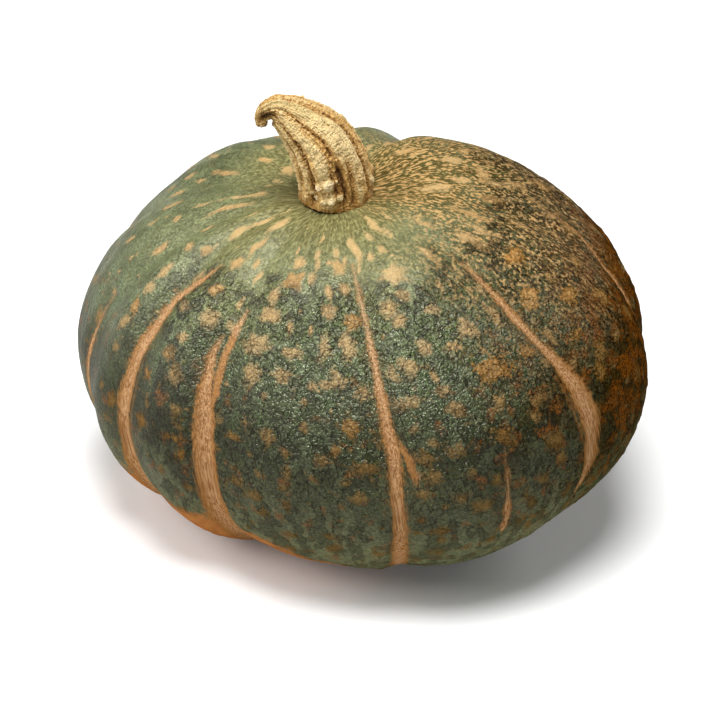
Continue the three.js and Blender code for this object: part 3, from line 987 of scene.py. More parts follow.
class Rind:
    """Waxy squash rind, as grown: granular green skin with corky scars.

    To the eye it is dark and slightly wet, with small glints on its grains. It turns
    dull olive round the stem and brown on the russet side. Its flecks, stripes and
    ground spot are dry cork, paler and without shine: a matt surface takes over
    there. The sheen's high level and its faint green and yellow tint are matched to
    this squash, and are not usual values for wax.
    """

    name = "waxy_green_rind"
    sizes = RindSizes()

    def __init__(self) -> None:
        """Starts the material and makes the patterns that its parts share."""
        self.material, self.graph = new_material(self.name)
        add, sizes = self.graph.add, self.sizes
        place = add("VectorMath", add("TexCoord").outputs["Object"], operation="SCALE",
                    Scale=1.0 / MM)
        self.growth, _, _, self.down = read_layer(self.graph, "growth")
        _, self.side, self.half, self.stripe_warmth = read_layer(self.graph, "band")
        _, self.strand_side, self.strand_half, _ = read_layer(self.graph, "strand")
        _, self.blotch, self.mark_warmth, self.ground = read_layer(self.graph, "mark")
        _, self.olive, self.russet, self.rough = read_layer(self.graph, "zone")
        self.away = add("Math", self.side, **UNSIGNED)

        # Noises on the skin itself, and noises drawn out along its growth
        self.grain = add("TexNoise", place, 1.0 / sizes.grain, 2.0)
        self.speck = add("TexNoise", place, 1.0 / sizes.speck, 1.0)
        self.wrinkle = add("TexNoise", place, 1.0 / sizes.wrinkle, 2.0, Distortion=0.3)
        self.mottle = add("TexNoise", self.growth, 1.0 / sizes.mottle, 4.0)
        self.drift = add("TexNoise", self.growth, 1.0 / sizes.drift, 2.0)
        veins = add("VectorMath", self.growth, (1.0, 1.0, 0.3), **TIMES)
        self.vein = add("TexNoise", veins, 1.0 / sizes.vein, 3.0)
        streaks = add("VectorMath", self.growth, (1.0, 1.0, 0.12), **TIMES)
        self.ray = add("TexNoise", streaks, 1.0 / sizes.streak, 3.0)
        self.threads = add("VectorMath", self.growth, (1.0, 1.0, 0.035), **TIMES)
        self.thread = add("TexNoise", self.threads, 1.0 / sizes.thread, 2.0)
        bent = add("TexNoise", place, 1.0 / sizes.bend, 1.0).outputs["Color"]
        bent = add("VectorMath", bent, (sizes.bend,) * 3, place, **TIMES_PLUS)
        self.pebble = add("TexVoronoi", bent, feature="SMOOTH_F1", Scale=1.0 / sizes.pebble,
                          Smoothness=0.3)
        plates = add("VectorMath", self.growth, (1.0, 1.0, 0.6), **TIMES)
        plate = add("TexNoise", plates, 1.0 / sizes.plate, 4.0)
        plate = add("MapRange", plate, 0.485, 0.53, **EASED)
        self.plate = add("Math", plate, self.rough, **TIMES)

        # Where the skin is high, low or quiet, and the ragged edge of its cork; high, low and
        # quiet skin get painted light in their colours
        self.shoulder = add("MapRange", self.down, 94.0, 36.0, **EASED)
        # Underneath: its colours are painted paler with light thrown up from the floor
        self.under = add("MapRange", self.down, 90.0, 134.0, 0.0, 0.9)
        quiet = add("Math", 1.0, self.rough, operation="SUBTRACT")
        quiet = add("Math", quiet, self.shoulder, **TIMES)
        # Calm skin: the smooth upper skin away from the warts, painted paler as if lit, and given
        # a rougher finish
        self.calm_lit_zone = add("Math", quiet, 0.6, **TIMES)
        feather = add("Math", self.grain, 2.2, add("Math", self.ray, 1.6, **TIMES), **TIMES_PLUS)
        feather = add("Math", self.mottle, 2.8, feather, **TIMES_PLUS)
        self.feather = add("Math", feather, 3.3, operation="SUBTRACT")
        # Painted shade: the creases between pebbles and plates are darkened in colour and lose
        # part of their shine
        self.crease_shade = self.crease_shading()

    def crease_shading(self) -> Signal:
        """Painted shade in the creases round the pebbles and plates, faint at the crown and
        underneath.

        Returns:
            How deep in a crease each point lies, from 0 to 1, which is how much painted shade it
            gets.
        """
        add = self.graph.add
        rim = add("Math", add("Math", self.plate, 1.0, operation="SUBTRACT"), self.plate, **TIMES)
        crease_shade = add("MapRange", self.pebble, 0.36, 0.72, 0.0, 0.5, **EASED)
        crease_shade = add("Math", rim, -2.6, crease_shade, **TIMES_PLUS)
        warty = add("Math", self.rough, 0.45, 0.55, **TIMES_PLUS)
        crease_shade = add("Math", crease_shade, warty, use_clamp=True, **TIMES)
        for zone, share in ((self.olive, -0.7), (self.under, -0.55)):
            keep = add("Math", zone, share, 1.0, **TIMES_PLUS)
            crease_shade = add("Math", crease_shade, keep, **TIMES)
        return crease_shade

    def green_skin(self) -> Signal:
        """Pale grains and veins on dark green, olive at the crown. Painted light is mixed in:
        paler high up and underneath, a painted bluish sheen on the shoulder and painted
        shade in the creases.

        Returns:
            The colour.
        """
        add = self.graph.add
        tone = add("Math", self.mottle, 0.7, add("Math", self.grain, 1.2, **TIMES), **TIMES_PLUS)
        for noise, share in ((self.speck, 0.3), (self.drift, 0.9), (self.vein, 0.8)):
            tone = add("Math", noise, share, tone, **TIMES_PLUS)
        tone = add("MapRange", tone, 1.45, 2.50, **EASED)
        # Painted light: the skin's dark green is paler high up and darker low down, as light
        # falls from above
        dark = add("Mix", self.shoulder, linear("#0e1403"), linear("#2f381a"), **TINT)
        pale = add("Mix", self.shoulder, linear("#2c340e"), linear("#6f7a48"), **TINT)
        for zone, darker, paler in (
            # painted light: calm upper skin paler
            (self.calm_lit_zone, "#5f6642", "#a3a77c"),
            # painted bounce light: skin underneath paler
            (self.under, "#626a48", "#8c9068"),
        ):
            dark = add("Mix", zone, dark, linear(darker), **TINT)
            pale = add("Mix", zone, pale, linear(paler), **TINT)
        # Painted sheen: a bluish tint on the shoulder's veins standing in for a reflection
        painted_blue_sheen = add("MapRange", self.vein, 0.40, 0.62, 0.0, 0.35)
        for start, end in ((34.0, 58.0), (94.0, 62.0)):
            painted_blue_sheen = add("Math", painted_blue_sheen, add("MapRange", self.down, start, end), **TIMES)
        streaked = add("MapRange", self.ray, 0.38, 0.66, **EASED)
        crown = add("Mix", streaked, linear("#5a5226"), linear("#9c9460"), **TINT)
        colour = add("Mix", tone, dark, pale, **TINT)
        for amount, over in (
            (painted_blue_sheen, linear("#5b7550")),
            # grey-green on the raised plates: their waxy bloom, partly painted sheen
            (add("Math", self.plate, 0.35, **TIMES), linear("#667050")),
            (add("Math", self.olive, 0.8, **TIMES), crown),
            # painted shade: the creases darkened to near-black green
            (self.crease_shade, linear("#191c0e")),
        ):
            colour = add("Mix", amount, colour, over, **TINT)
        return colour

    def russet_side(self, colour: Signal) -> Signal:
        """Brown and golden curls over the green, closing up towards the right, with painted
        shade in their creases.

        Args:
            colour: The skin's colour under them.

        Returns:
            The colour with them.
        """
        add = self.graph.add
        cover = add("Math", self.mottle, 0.5, -0.27, **TIMES_PLUS)
        cover = add("Math", self.russet, 0.22, cover, **TIMES_PLUS)
        dense = add("MapRange", add("Math", self.grain, cover), 0.46, 0.58, **EASED)
        dense = add("Math", dense, add("Math", self.russet, 0.9, **TIMES), **TIMES)
        dense = add("Math", dense, add("MapRange", self.down, 25.0, 75.0, 0.5, 1.0), **TIMES)
        worm = add("Math", add("Math", self.grain, 0.5, operation="SUBTRACT"), **UNSIGNED)
        worm = add("MapRange", worm, 0.0, 0.07, **EASED)
        curl = add("Math", worm, 0.6, add("Math", self.ray, 0.8, **TIMES), **TIMES_PLUS)
        curl = add("Math", self.mottle, 0.8, curl, **TIMES_PLUS)
        curl = add("MapRange", curl, 0.75, 1.55)
        low = add("Mix", curl, linear("#0f0a02"), linear("#553811"), **TINT)
        high = add("Mix", curl, linear("#110c02"), linear("#5e4316"), **TINT)
        # Painted light: the russet brown a little paler high up, as light falls from above
        brown = add("Mix", self.shoulder, low, high, **TINT)
        tawny = add("MapRange", self.ray, 0.49, 0.61, 0.0, 0.9, **EASED)
        tawny = add("Math", tawny, add("Math", self.russet, self.shoulder, **TIMES), **TIMES)
        rust = add("TexNoise", self.growth, 1.0 / self.sizes.rust, 3.0)
        rust = add("Math", self.russet, 0.16, rust, **TIMES_PLUS)
        rust = add("MapRange", rust, 0.56, 0.72, 0.0, 0.8, **EASED)
        rust = add("Math", rust, add("MapRange", self.grain, 0.36, 0.56), **TIMES)
        rust = add("Math", rust, add("MapRange", self.down, 40.0, 80.0, 0.15, 1.0), **TIMES)
        # Painted shade: the russet's creases darkened to dark brown
        hollow = add("Math", self.crease_shade, 0.85, **TIMES)
        for amount, over in (
            (dense, brown),
            (tawny, linear("#d0a76c")),
            (rust, linear("#874b0e")),
            (hollow, linear("#1c140a")),
        ):
            colour = add("Mix", amount, colour, over, **TINT)
        return colour

    def flecks(self) -> tuple[Signal, Signal]:
        """Tan corky flecks with feathered edges, some of them golden. Low down they are
        painted darker as light falls from above, and their creases get painted shade.

        Returns:
            How far they cover the skin, and their colour.
        """
        add = self.graph.add
        ragged = add("MapRange", self.down, 30.0, 62.0, 0.15, 0.8)
        ragged = add("Math", self.feather, ragged, **TIMES)
        within = add("Math", ragged, self.blotch)
        cover = add("MapRange", within, -0.10, 0.55, 0.0, 0.84, **EASED)
        # Painted light: fleck colours paler high up and darker low down
        colour = add("Mix", self.shoulder, linear("#6e5a38"), linear("#b79a6c"), **TINT)
        gold = add("Mix", self.shoulder, linear("#784f14"), linear("#b0762c"), **TINT)
        bright = add("Mix", self.shoulder, linear("#94733e"), linear("#d6ad74"), **TINT)
        for amount, over in (
            (add("Math", self.mark_warmth, self.mark_warmth, **TIMES), gold),
            (add("Math", self.olive, 0.6, **TIMES), linear("#d2b47c")),
            (add("MapRange", within, 0.3, 1.0, 0.0, 0.5, **EASED), bright),
            # painted shade: the flecks' creases darkened
            (add("Math", self.crease_shade, 0.9, use_clamp=True, **TIMES), linear("#4a3b20")),
        ):
            colour = add("Mix", amount, colour, over, **TINT)
        return cover, colour

    def ground_spot(self) -> tuple[Signal, Signal]:
        """The bare, clay-coloured patch that lay on the ground.

        Returns:
            How far it covers the skin, and its colour.
        """
        add = self.graph.add
        bare = add("Math", self.feather, 0.45, self.ground, **TIMES_PLUS)
        bare = add("MapRange", bare, -0.25, 0.35, **EASED)
        clay = add("TexNoise", self.growth, 1.0 / self.sizes.clay, 4.0)
        return bare, add("Mix", clay, linear("#8f5226"), linear("#cf9154"), **TINT)

    def inside(self, side: Signal, half: Signal, edge: Signal) -> Signal:
        """Marks the inside of a band with a ragged edge.

        Args:
            side: Distance from the band's middle.
            half: Its half width, below 0 where there is no band.
            edge: How far noise pushes its edge outwards.

        Returns:
            1 inside it and 0 outside.
        """
        add = self.graph.add
        past = add("Math", edge, 0.6, half, **TIMES_PLUS)
        past = add("Math", past, add("Math", side, **UNSIGNED), operation="SUBTRACT")
        there = add("MapRange", half, 0.0, 1.2)
        return add("Math", add("MapRange", past, -0.7, 0.7), there, **TIMES)

    def stripes(self, colour: Signal) -> tuple[Signal, Signal]:
        """Straw-coloured, fibrous bands with frayed edges, on skin painted darker and
        browner beside them: painted shade of the furrows, partly a real brown tint.

        Args:
            colour: The skin's colour under them.

        Returns:
            How far they cover the skin, and the colour with them.
        """
        add = self.graph.add
        wobble = add("Math", self.mottle, 3.6, -1.8, **TIMES_PLUS)
        fray = add("Math", self.thread, 5.6, -2.8, **TIMES_PLUS)
        stripe = self.inside(self.side, self.half, add("Math", wobble, fray))
        strand = self.inside(self.strand_side, self.strand_half, fray)
        stripe = add("Math", stripe, strand, **LARGER)
        # Beside the stripes, where the furrows' shade is painted in
        beside = add("MapRange", self.away, 7.0, 1.5, 0.0, 0.5, **EASED)
        for signal, low, high in ((self.half, 0.5, 1.5), (self.mottle, 0.36, 0.56)):
            beside = add("Math", beside, add("MapRange", signal, low, high), **TIMES)
        fibre = add("TexNoise", self.threads, 1.0 / self.sizes.fibre, 2.0)
        fibre = add("MapRange", add("Math", fibre, self.thread), 0.82, 1.14, **EASED)
        middle = add("Math", self.away, self.half, operation="DIVIDE")
        middle = add("MapRange", middle, 1.0, 0.2, 0.0, 0.6, **EASED)
        straw = add("Mix", self.stripe_warmth, linear("#9a7040"), linear("#b27c42"), **TINT)
        straw = add("Mix", middle, straw, linear("#d3ab80"), **TINT)
        band = add("Mix", fibre, linear("#93643a"), straw, **TINT)
        # Painted furrow shade, partly the skin's own brown: darker brown beside the stripes
        colour = add("Mix", beside, colour, linear("#4c3d20"), **TINT)
        return stripe, add("Mix", stripe, colour, band, **TINT)

    def relief(self, stripe: Signal, bare: Signal) -> Signal:
        """Fine relief: pebbles, grain and wrinkles, raised plates and stripe fibres.

        The green skin beside a stripe, and stripe and bare skin themselves, keep
        only part of it.

        Args:
            stripe: How far stripes cover the skin.
            bare: How far stripes or the ground spot cover it.

        Returns:
            Height in millimetres.
        """
        add = self.graph.add
        amount = add("Math", self.rough, 0.38, 0.26, **TIMES_PLUS)
        amount = add("Math", amount, add("Math", self.olive, -0.6, 1.0, **TIMES_PLUS), **TIMES)
        grain = add("Math", self.grain, add("Math", amount, 0.4, **TIMES), **TIMES)
        height = add("Math", self.pebble, add("Math", amount, -1.0, **TIMES), grain, **TIMES_PLUS)
        for pattern, share in (
            (self.plate, 0.40),
            (self.ray, 0.35),
            (self.wrinkle, add("Math", self.rough, 0.5, 0.35, **TIMES_PLUS)),
        ):
            height = add("Math", pattern, share, height, **TIMES_PLUS)
        satin = add("Math", self.away, -0.13, 0.5, use_clamp=True, **TIMES_PLUS)
        beside = add("Math", self.shoulder, self.half, use_clamp=True, **TIMES)
        smooth = add("Math", bare, add("Math", satin, beside, **TIMES), **LARGER)
        height = add("Math", height, add("Math", smooth, -0.7, 1.0, **TIMES_PLUS), **TIMES)
        return add("Math", self.thread, add("Math", stripe, 0.4, **TIMES), height, **TIMES_PLUS)

    def shine(self, colour: Signal, height: Signal, corky: Signal) -> Signal:
        """Waxy skin, glossiest on its pale veins, that gives way to matt skin.

        Args:
            colour: The finished colour.
            height: The fine relief.
            corky: How far any cork covers the skin.

        Returns:
            The surface.
        """
        add = self.graph.add
        bump = add("Bump", Strength=1.0, Distance=MM, Height=height)
        gloss = add("MapRange", self.vein, 0.42, 0.60, 0.34, 0.22)
        for part, share in (
            (corky, 0.15), (self.calm_lit_zone, 0.14), (self.olive, 0.12), (self.russet, 0.12),
        ):
            gloss = add("Math", part, share, gloss, **TIMES_PLUS)
        waxy = add("BsdfPrincipled", Base_Color=colour, Roughness=gloss, Normal=bump,
                   Specular_IOR_Level=1.0, Specular_Tint=linear("#f2f4da"))
        # Matt share: more low down, on cork, at the crown and on russet, and in the creases as
        # painted shade
        dull = add("MapRange", self.shoulder, 0.5, 0.0, 0.0, 0.45)
        for part, share in (
            (self.under, 0.3), (corky, 0.3), (self.crease_shade, 0.2), (self.olive, 0.45),
        ):
            dull = add("Math", part, share, dull, **TIMES_PLUS)
        dull = add("Math", self.russet, 0.75, dull, use_clamp=True, **TIMES_PLUS)
        return add("MixShader", dull, waxy, add("BsdfDiffuse", colour, Normal=bump))

    def build(self) -> bpy.types.Material:
        """Lays the parts over each other, from the green skin up to the stripes.

        Returns:
            The finished material.
        """
        add = self.graph.add
        colour = self.russet_side(self.green_skin())
        fleck, tan = self.flecks()
        bare, clay = self.ground_spot()
        colour = add("Mix", fleck, colour, tan, **TINT)
        colour = add("Mix", bare, colour, clay, **TINT)
        stripe, colour = self.stripes(colour)
        bare = add("Math", stripe, bare, **LARGER)
        corky = add("Math", bare, fleck, **LARGER)
        add("OutputMaterial", self.shine(colour, self.relief(stripe, bare), corky))
        return self.material


# ---------------------------------------------------------------- the stem


@dataclass(frozen=True)
class Knob:
    """One corky knob: distance up, degrees around, half width and height."""

    up: float
    turn: float
    size: float
    rise: float


@dataclass(frozen=True)
class BeadChain:
    """A line of small beads: degrees around and their scatter, then millimetres."""

    turn: float
    scatter: float
    start: float
    end: float
    spacing: float
    size: float


BACK_RIBS = (
    Ridge(176, 1.2, 0.9), Ridge(208, 1.0, 0.8), Ridge(243, 1.4, 0.9), Ridge(280, 1.1, 0.8),
    Ridge(314, 1.4, 0.8),
)

FOOT_RIBS = (
    Ridge(-12, 1.2, 0.7), Ridge(20, 0.7, 0.7), Ridge(49, 1.8, 0.9), Ridge(86, 1.0, 0.4),
    Ridge(98, 1.8, 0.7), Ridge(115, 1.2, 0.9), Ridge(147, 1.3, 0.7), *BACK_RIBS,
)

UPPER_RIBS = (
    Ridge(-12, 1.2, 0.7), Ridge(20, 0.9, 0.7), Ridge(49, 1.7, 1.1), Ridge(90, 1.5, 1.4),
    Ridge(147, 1.3, 0.8), *BACK_RIBS,
)

KNOBS = (
    Knob(16.4, 56, 1.9, 1.3), Knob(16.8, 76, 2.1, 1.4), Knob(22.6, 72, 3.0, 0.5),
    Knob(10.4, 50, 1.6, 1.0), Knob(9.8, 66, 1.6, 1.1), Knob(10.0, 79, 1.6, 1.1),
    Knob(10.4, 92, 1.4, 0.9), Knob(12.6, 45, 1.4, 0.8), Knob(9.4, 34, 1.5, 0.7),
    Knob(10.2, 160, 1.9, 0.8), Knob(9.6, 196, 2.0, 0.9), Knob(13.4, 226, 1.9, 0.9),
    Knob(9.8, 262, 2.0, 1.0), Knob(14.6, 296, 2.0, 1.0), Knob(10.0, 330, 1.9, 0.8),
)

PITS = (
    Knob(49.5, 62, 1.6, 1.2), Knob(52.0, 48, 1.9, 1.4), Knob(54.0, 66, 1.5, 1.1),
    Knob(20.0, 96, 1.0, 0.8), Knob(27.5, 90, 1.0, 0.7), Knob(19.0, 44, 0.9, 0.7),
    Knob(13.4, 68, 0.9, 0.9), Knob(13.2, 84, 0.9, 0.8), Knob(36.0, 50, 0.9, 0.7),
)

BEAD_CHAINS = (
    BeadChain(47, 3, 17, 50, 1.2, 0.6), BeadChain(90, 3, 17, 52, 1.3, 0.65),
    BeadChain(30, 8, 9, 30, 0.8, 0.5), BeadChain(6, 10, 8, 46, 1.0, 0.5),
    BeadChain(98, 3, 12, 24, 1.3, 0.5), BeadChain(150, 4, 12, 48, 1.3, 0.55),
    BeadChain(178, 4, 10, 50, 1.3, 0.6), BeadChain(243, 4, 10, 50, 1.2, 0.6),
    BeadChain(314, 5, 9, 50, 1.2, 0.6), BeadChain(60, 60, 48, 60, 0.25, 0.45),
)


@dataclass(frozen=True)
class StemForm:
    """The stem's path from the crown: rows of x, y, z and radius in millimetres."""

    rows: tuple[tuple[float, float, float, float], ...] = (
        (-0.2, 0.8, -3.0, 12.0), (-0.6, 0.9, -0.4, 13.1), (-0.8, 0.9, 1.4, 13.6),
        (-0.8, 0.6, 3.2, 13.5), (-0.8, 0.3, 5.0, 13.0), (-1.4, -0.4, 9.4, 12.8),
        (-3.4, -1.4, 16.4, 12.4), (-7.8, -2.2, 25.0, 11.2), (-13.6, -2.9, 31.0, 8.8),
        (-18.6, -3.4, 35.0, 6.6), (-22.0, -3.8, 36.7, 4.9), (-25.2, -4.4, 36.2, 3.4),
        (-27.0, -5.0, 34.0, 2.3), (-27.1, -5.4, 31.4, 1.7),
    )
    plain_radius: float = 12.0
    groove_width: float = 6.5
    twist: float = -28.0


@dataclass
class StemGrid:
    """The stem's points in rings: its path, and each point's place up and around it.

    "Straight" holds the points as they are on a straight stem of one radius, the
    space in which the cork's pattern is made. The twist is in degrees over the
    whole length.
    """

    path: np.ndarray
    forward: np.ndarray
    up: np.ndarray
    turn: np.ndarray
    straight: np.ndarray
    twist: float

    @property
    def radius(self) -> np.ndarray:
        """The plain stem's radius at each ring, as a column."""
        return self.path[:, 3:]

    @property
    def length(self) -> float:
        """The path's length."""
        return float(self.up[-1, 0])

    def noise(self, seed: Seed, size: float, squeeze: float = 1.0) -> np.ndarray:
        """Samples noise on the straight stem, with heights scaled by the squeeze."""
        flat = self.straight.reshape(-1, 3) * [1.0, 1.0, squeeze]
        return LatticeNoise(seed)(flat, size).reshape(self.up.shape)

    def away(self, knob: Knob) -> np.ndarray:
        """Distance from a knob's middle, measured in its own half widths.

        Args:
            knob: The knob; its angle is that at the foot, before the stem's twist.

        Returns:
            One distance per point.
        """
        turned = np.radians(knob.turn - self.twist * knob.up / self.length)
        around = wrap(self.turn - turned) * self.radius
        return np.hypot(self.up - knob.up, around) / knob.size


def tube_faces(rings: int, around: int) -> tuple[np.ndarray, np.ndarray]:
    """Faces of a tube made of rings of points, closed by a fan at each end.

    Args:
        rings: Rings, from the foot up.
        around: Points in each.

    Returns:
        Rows of four point numbers for the tube and of three for the fans. Two
        points follow those of the rings: the middles of the foot and of the tip.
    """
    number = np.arange(rings * around).reshape(rings, around)
    after = np.roll(number, -1, axis=1)
    quads = np.stack([number[:-1], after[:-1], after[1:], number[1:]], axis=-1)
    foot = np.full(around, rings * around)
    triangles = np.concatenate([
        np.column_stack([foot, after[0], number[0]]),
        np.column_stack([foot + 1, number[-1], after[-1]]),
    ])
    return quads.reshape(-1, 4), triangles


@dataclass
class Stem:
    """The dry stem: ribs, grooves, chains of corky beads and a hollow tip.

    The hollow is a few smaller rings inside the last one, as shares of its size and
    millimetres along the axis. Its cork is painted dark there as shade, for the depth
    in "hollow shade level".
    The ribs of the foot give way to fewer between the two heights in "merging".
    """

    form: StemForm
    around: int = 280
    along: int = 320
    hollow: tuple[tuple[float, float], ...] = (
        (0.86, 0.4), (0.7, -0.2), (0.55, -1.2), (0.35, -2.0), (0.15, -2.2),
    )
    # Painted shade: the relief value of the hollow's rings, which colours them dark like a deep
    # groove
    hollow_shade_level: float = -3.0
    merging: tuple[float, float] = (18.0, 28.0)
    grain_squeeze: float = 0.12

    def beads(self) -> list[Knob]:
        """The placed knobs, and the beads of the chains with a little scatter.

        Returns:
            The knobs, then each chain's beads from its start up.
        """
        random = np.random.default_rng(Seed.STEM_BEADS)
        beads = list(KNOBS)
        for chain in BEAD_CHAINS:
            up = chain.start
            while up < chain.end:
                size = chain.size * random.uniform(0.6, 1.3)
                turn = chain.turn + random.normal(0.0, chain.scatter)
                beads.append(Knob(up, turn, size, 0.75 * size))
                up += chain.spacing * random.uniform(0.5, 1.8)
        return beads

    def bulge(self, along: np.ndarray) -> np.ndarray:
        """Height of a rib of rise 1: a half ellipse over its span."""
        return np.sqrt(4.0 * along * (1.0 - along))

    def grid(self) -> StemGrid:
        """Lays the rings out along the stem's path.

        Returns:
            The stem's points, with the places they have up and around it.
        """
        curve = Spline(np.array(self.form.rows))
        up = np.linspace(0.0, curve.knots()[-1], self.along)
        path = curve(up)
        forward = unit(np.gradient(path[:, :3], up, axis=0))
        turn = np.linspace(0.0, 2.0 * np.pi, self.around, endpoint=False)
        up, turn = np.meshgrid(up, turn, indexing="ij")
        across, ahead = np.cos(turn), np.sin(turn)
        out = self.form.plain_radius
        straight = np.stack([out * across, out * ahead, up], axis=-1)
        return StemGrid(path, forward, up, turn, straight, self.form.twist)

    def relief(self, grid: StemGrid) -> tuple[np.ndarray, np.ndarray, np.ndarray]:
        """Rise of the ribs, of the beads, and of everything together.

        The ribs twist and wander, and pits sink into them as bell curves. A bead's
        rise is a power of 1 less its squared distance, and where two meet the higher
        one counts. Lumps, grit and long fibres roughen the whole.

        Args:
            grid: The stem's points.

        Returns:
            Three grids of millimetres outwards.
        """
        wander = grid.noise(Seed.STEM_WANDER, 7.0, 0.5)
        lumps = grid.noise(Seed.STEM_LUMPS, 3.0)
        fibres = grid.noise(Seed.STEM_FIBRES, 0.9, 0.15)
        grit = grid.noise(Seed.STEM_GRIT, 0.8)
        twist = np.radians(grid.twist) * grid.up / grid.length
        phase = grid.turn + twist + 0.13 * wander
        upper = smoothstep(*self.merging, grid.up)
        width = self.form.groove_width
        ribs = (1.0 - upper) * ridge_rise(FOOT_RIBS, phase, self.bulge, width)
        ribs += upper * ridge_rise(UPPER_RIBS, phase, self.bulge, width)
        above_seat = smoothstep(3.0, 9.0, grid.up)
        thickness = grid.radius / self.form.plain_radius
        ribs *= (0.85 + 0.3 * lumps) * above_seat * thickness
        for pit in PITS:
            ribs -= pit.rise * np.exp(-(grid.away(pit) ** 2))
        lift = np.zeros_like(ribs)
        for bead in self.beads():
            away = grid.away(bead) * (1.0 + 0.35 * lumps)
            lift = np.maximum(lift, bead.rise * np.maximum(0.0, 1.0 - away**2) ** 0.7)
        grain = (0.32 * lumps + 0.26 * grit) * smoothstep(0.0, 3.0, grid.up)
        return ribs, lift, ribs + lift + grain + 0.2 * fibres

    def rings(self, grid: StemGrid, rise: np.ndarray) -> tuple[np.ndarray, np.ndarray]:
        """Carries the rings along the path and turns the last ones in at the tip.

        Args:
            grid: The stem's points.
            rise: Millimetres outwards at each.

        Returns:
            The rings' points from the crown, and the middles of the foot and tip.
        """
        side = unit(np.cross([0.0, -1.0, 0.0], grid.forward))
        front = np.cross(grid.forward, side)
        reach = (grid.radius + rise)[..., None]
        points = (
            grid.path[:, None, :3]
            + reach * np.cos(grid.turn)[..., None] * side[:, None]
            + reach * np.sin(grid.turn)[..., None] * front[:, None]
        )
        middle, axis = grid.path[-1, :3], grid.forward[-1]
        rim = points[-1] - middle
        inner = [middle + rim * share + axis * sink for share, sink in self.hollow]
        ends = np.array([grid.path[0, :3], middle + axis * self.hollow[-1][1]])
        return np.concatenate([points, np.array(inner)]), ends

    def build(self, material: bpy.types.Material, crown: np.ndarray) -> bpy.types.Object:
        """Makes the stem: rings carried along its path, closed at the foot and tip.

        Args:
            material: Its cork.
            crown: Where the fruit's crown is, in millimetres.

        Returns:
            The stem's object.
        """
        grid = self.grid()
        ribs, lift, rise = self.relief(grid)
        rings, ends = self.rings(grid, rise)
        points = np.concatenate([rings.reshape(-1, 3), ends]) + crown
        tail = np.zeros((len(self.hollow), self.around))
        relief = np.stack([
            np.concatenate([ribs, tail + self.hollow_shade_level]),
            np.concatenate([grid.up, tail + grid.length]),
            np.concatenate([lift, tail]),
        ], axis=-1)
        relief_ends = [[0.0, 0.0, 0.0], [self.hollow_shade_level, grid.length, 0.0]]
        last = np.repeat(grid.straight[-1:], len(self.hollow), axis=0)
        grain = np.concatenate([grid.straight, last])
        grain_ends = [[0.0, 0.0, 0.0], [0.0, 0.0, grid.length]]
        grain = np.concatenate([grain.reshape(-1, 3), grain_ends])
        layers = {
            "relief": np.concatenate([relief.reshape(-1, 3), relief_ends]),
            "grain": grain * [1.0, 1.0, self.grain_squeeze],
        }
        sheet = MeshSheet(points, *tube_faces(*rings.shape[:2]), layers)
        return sheet.build("stem_cork", material)


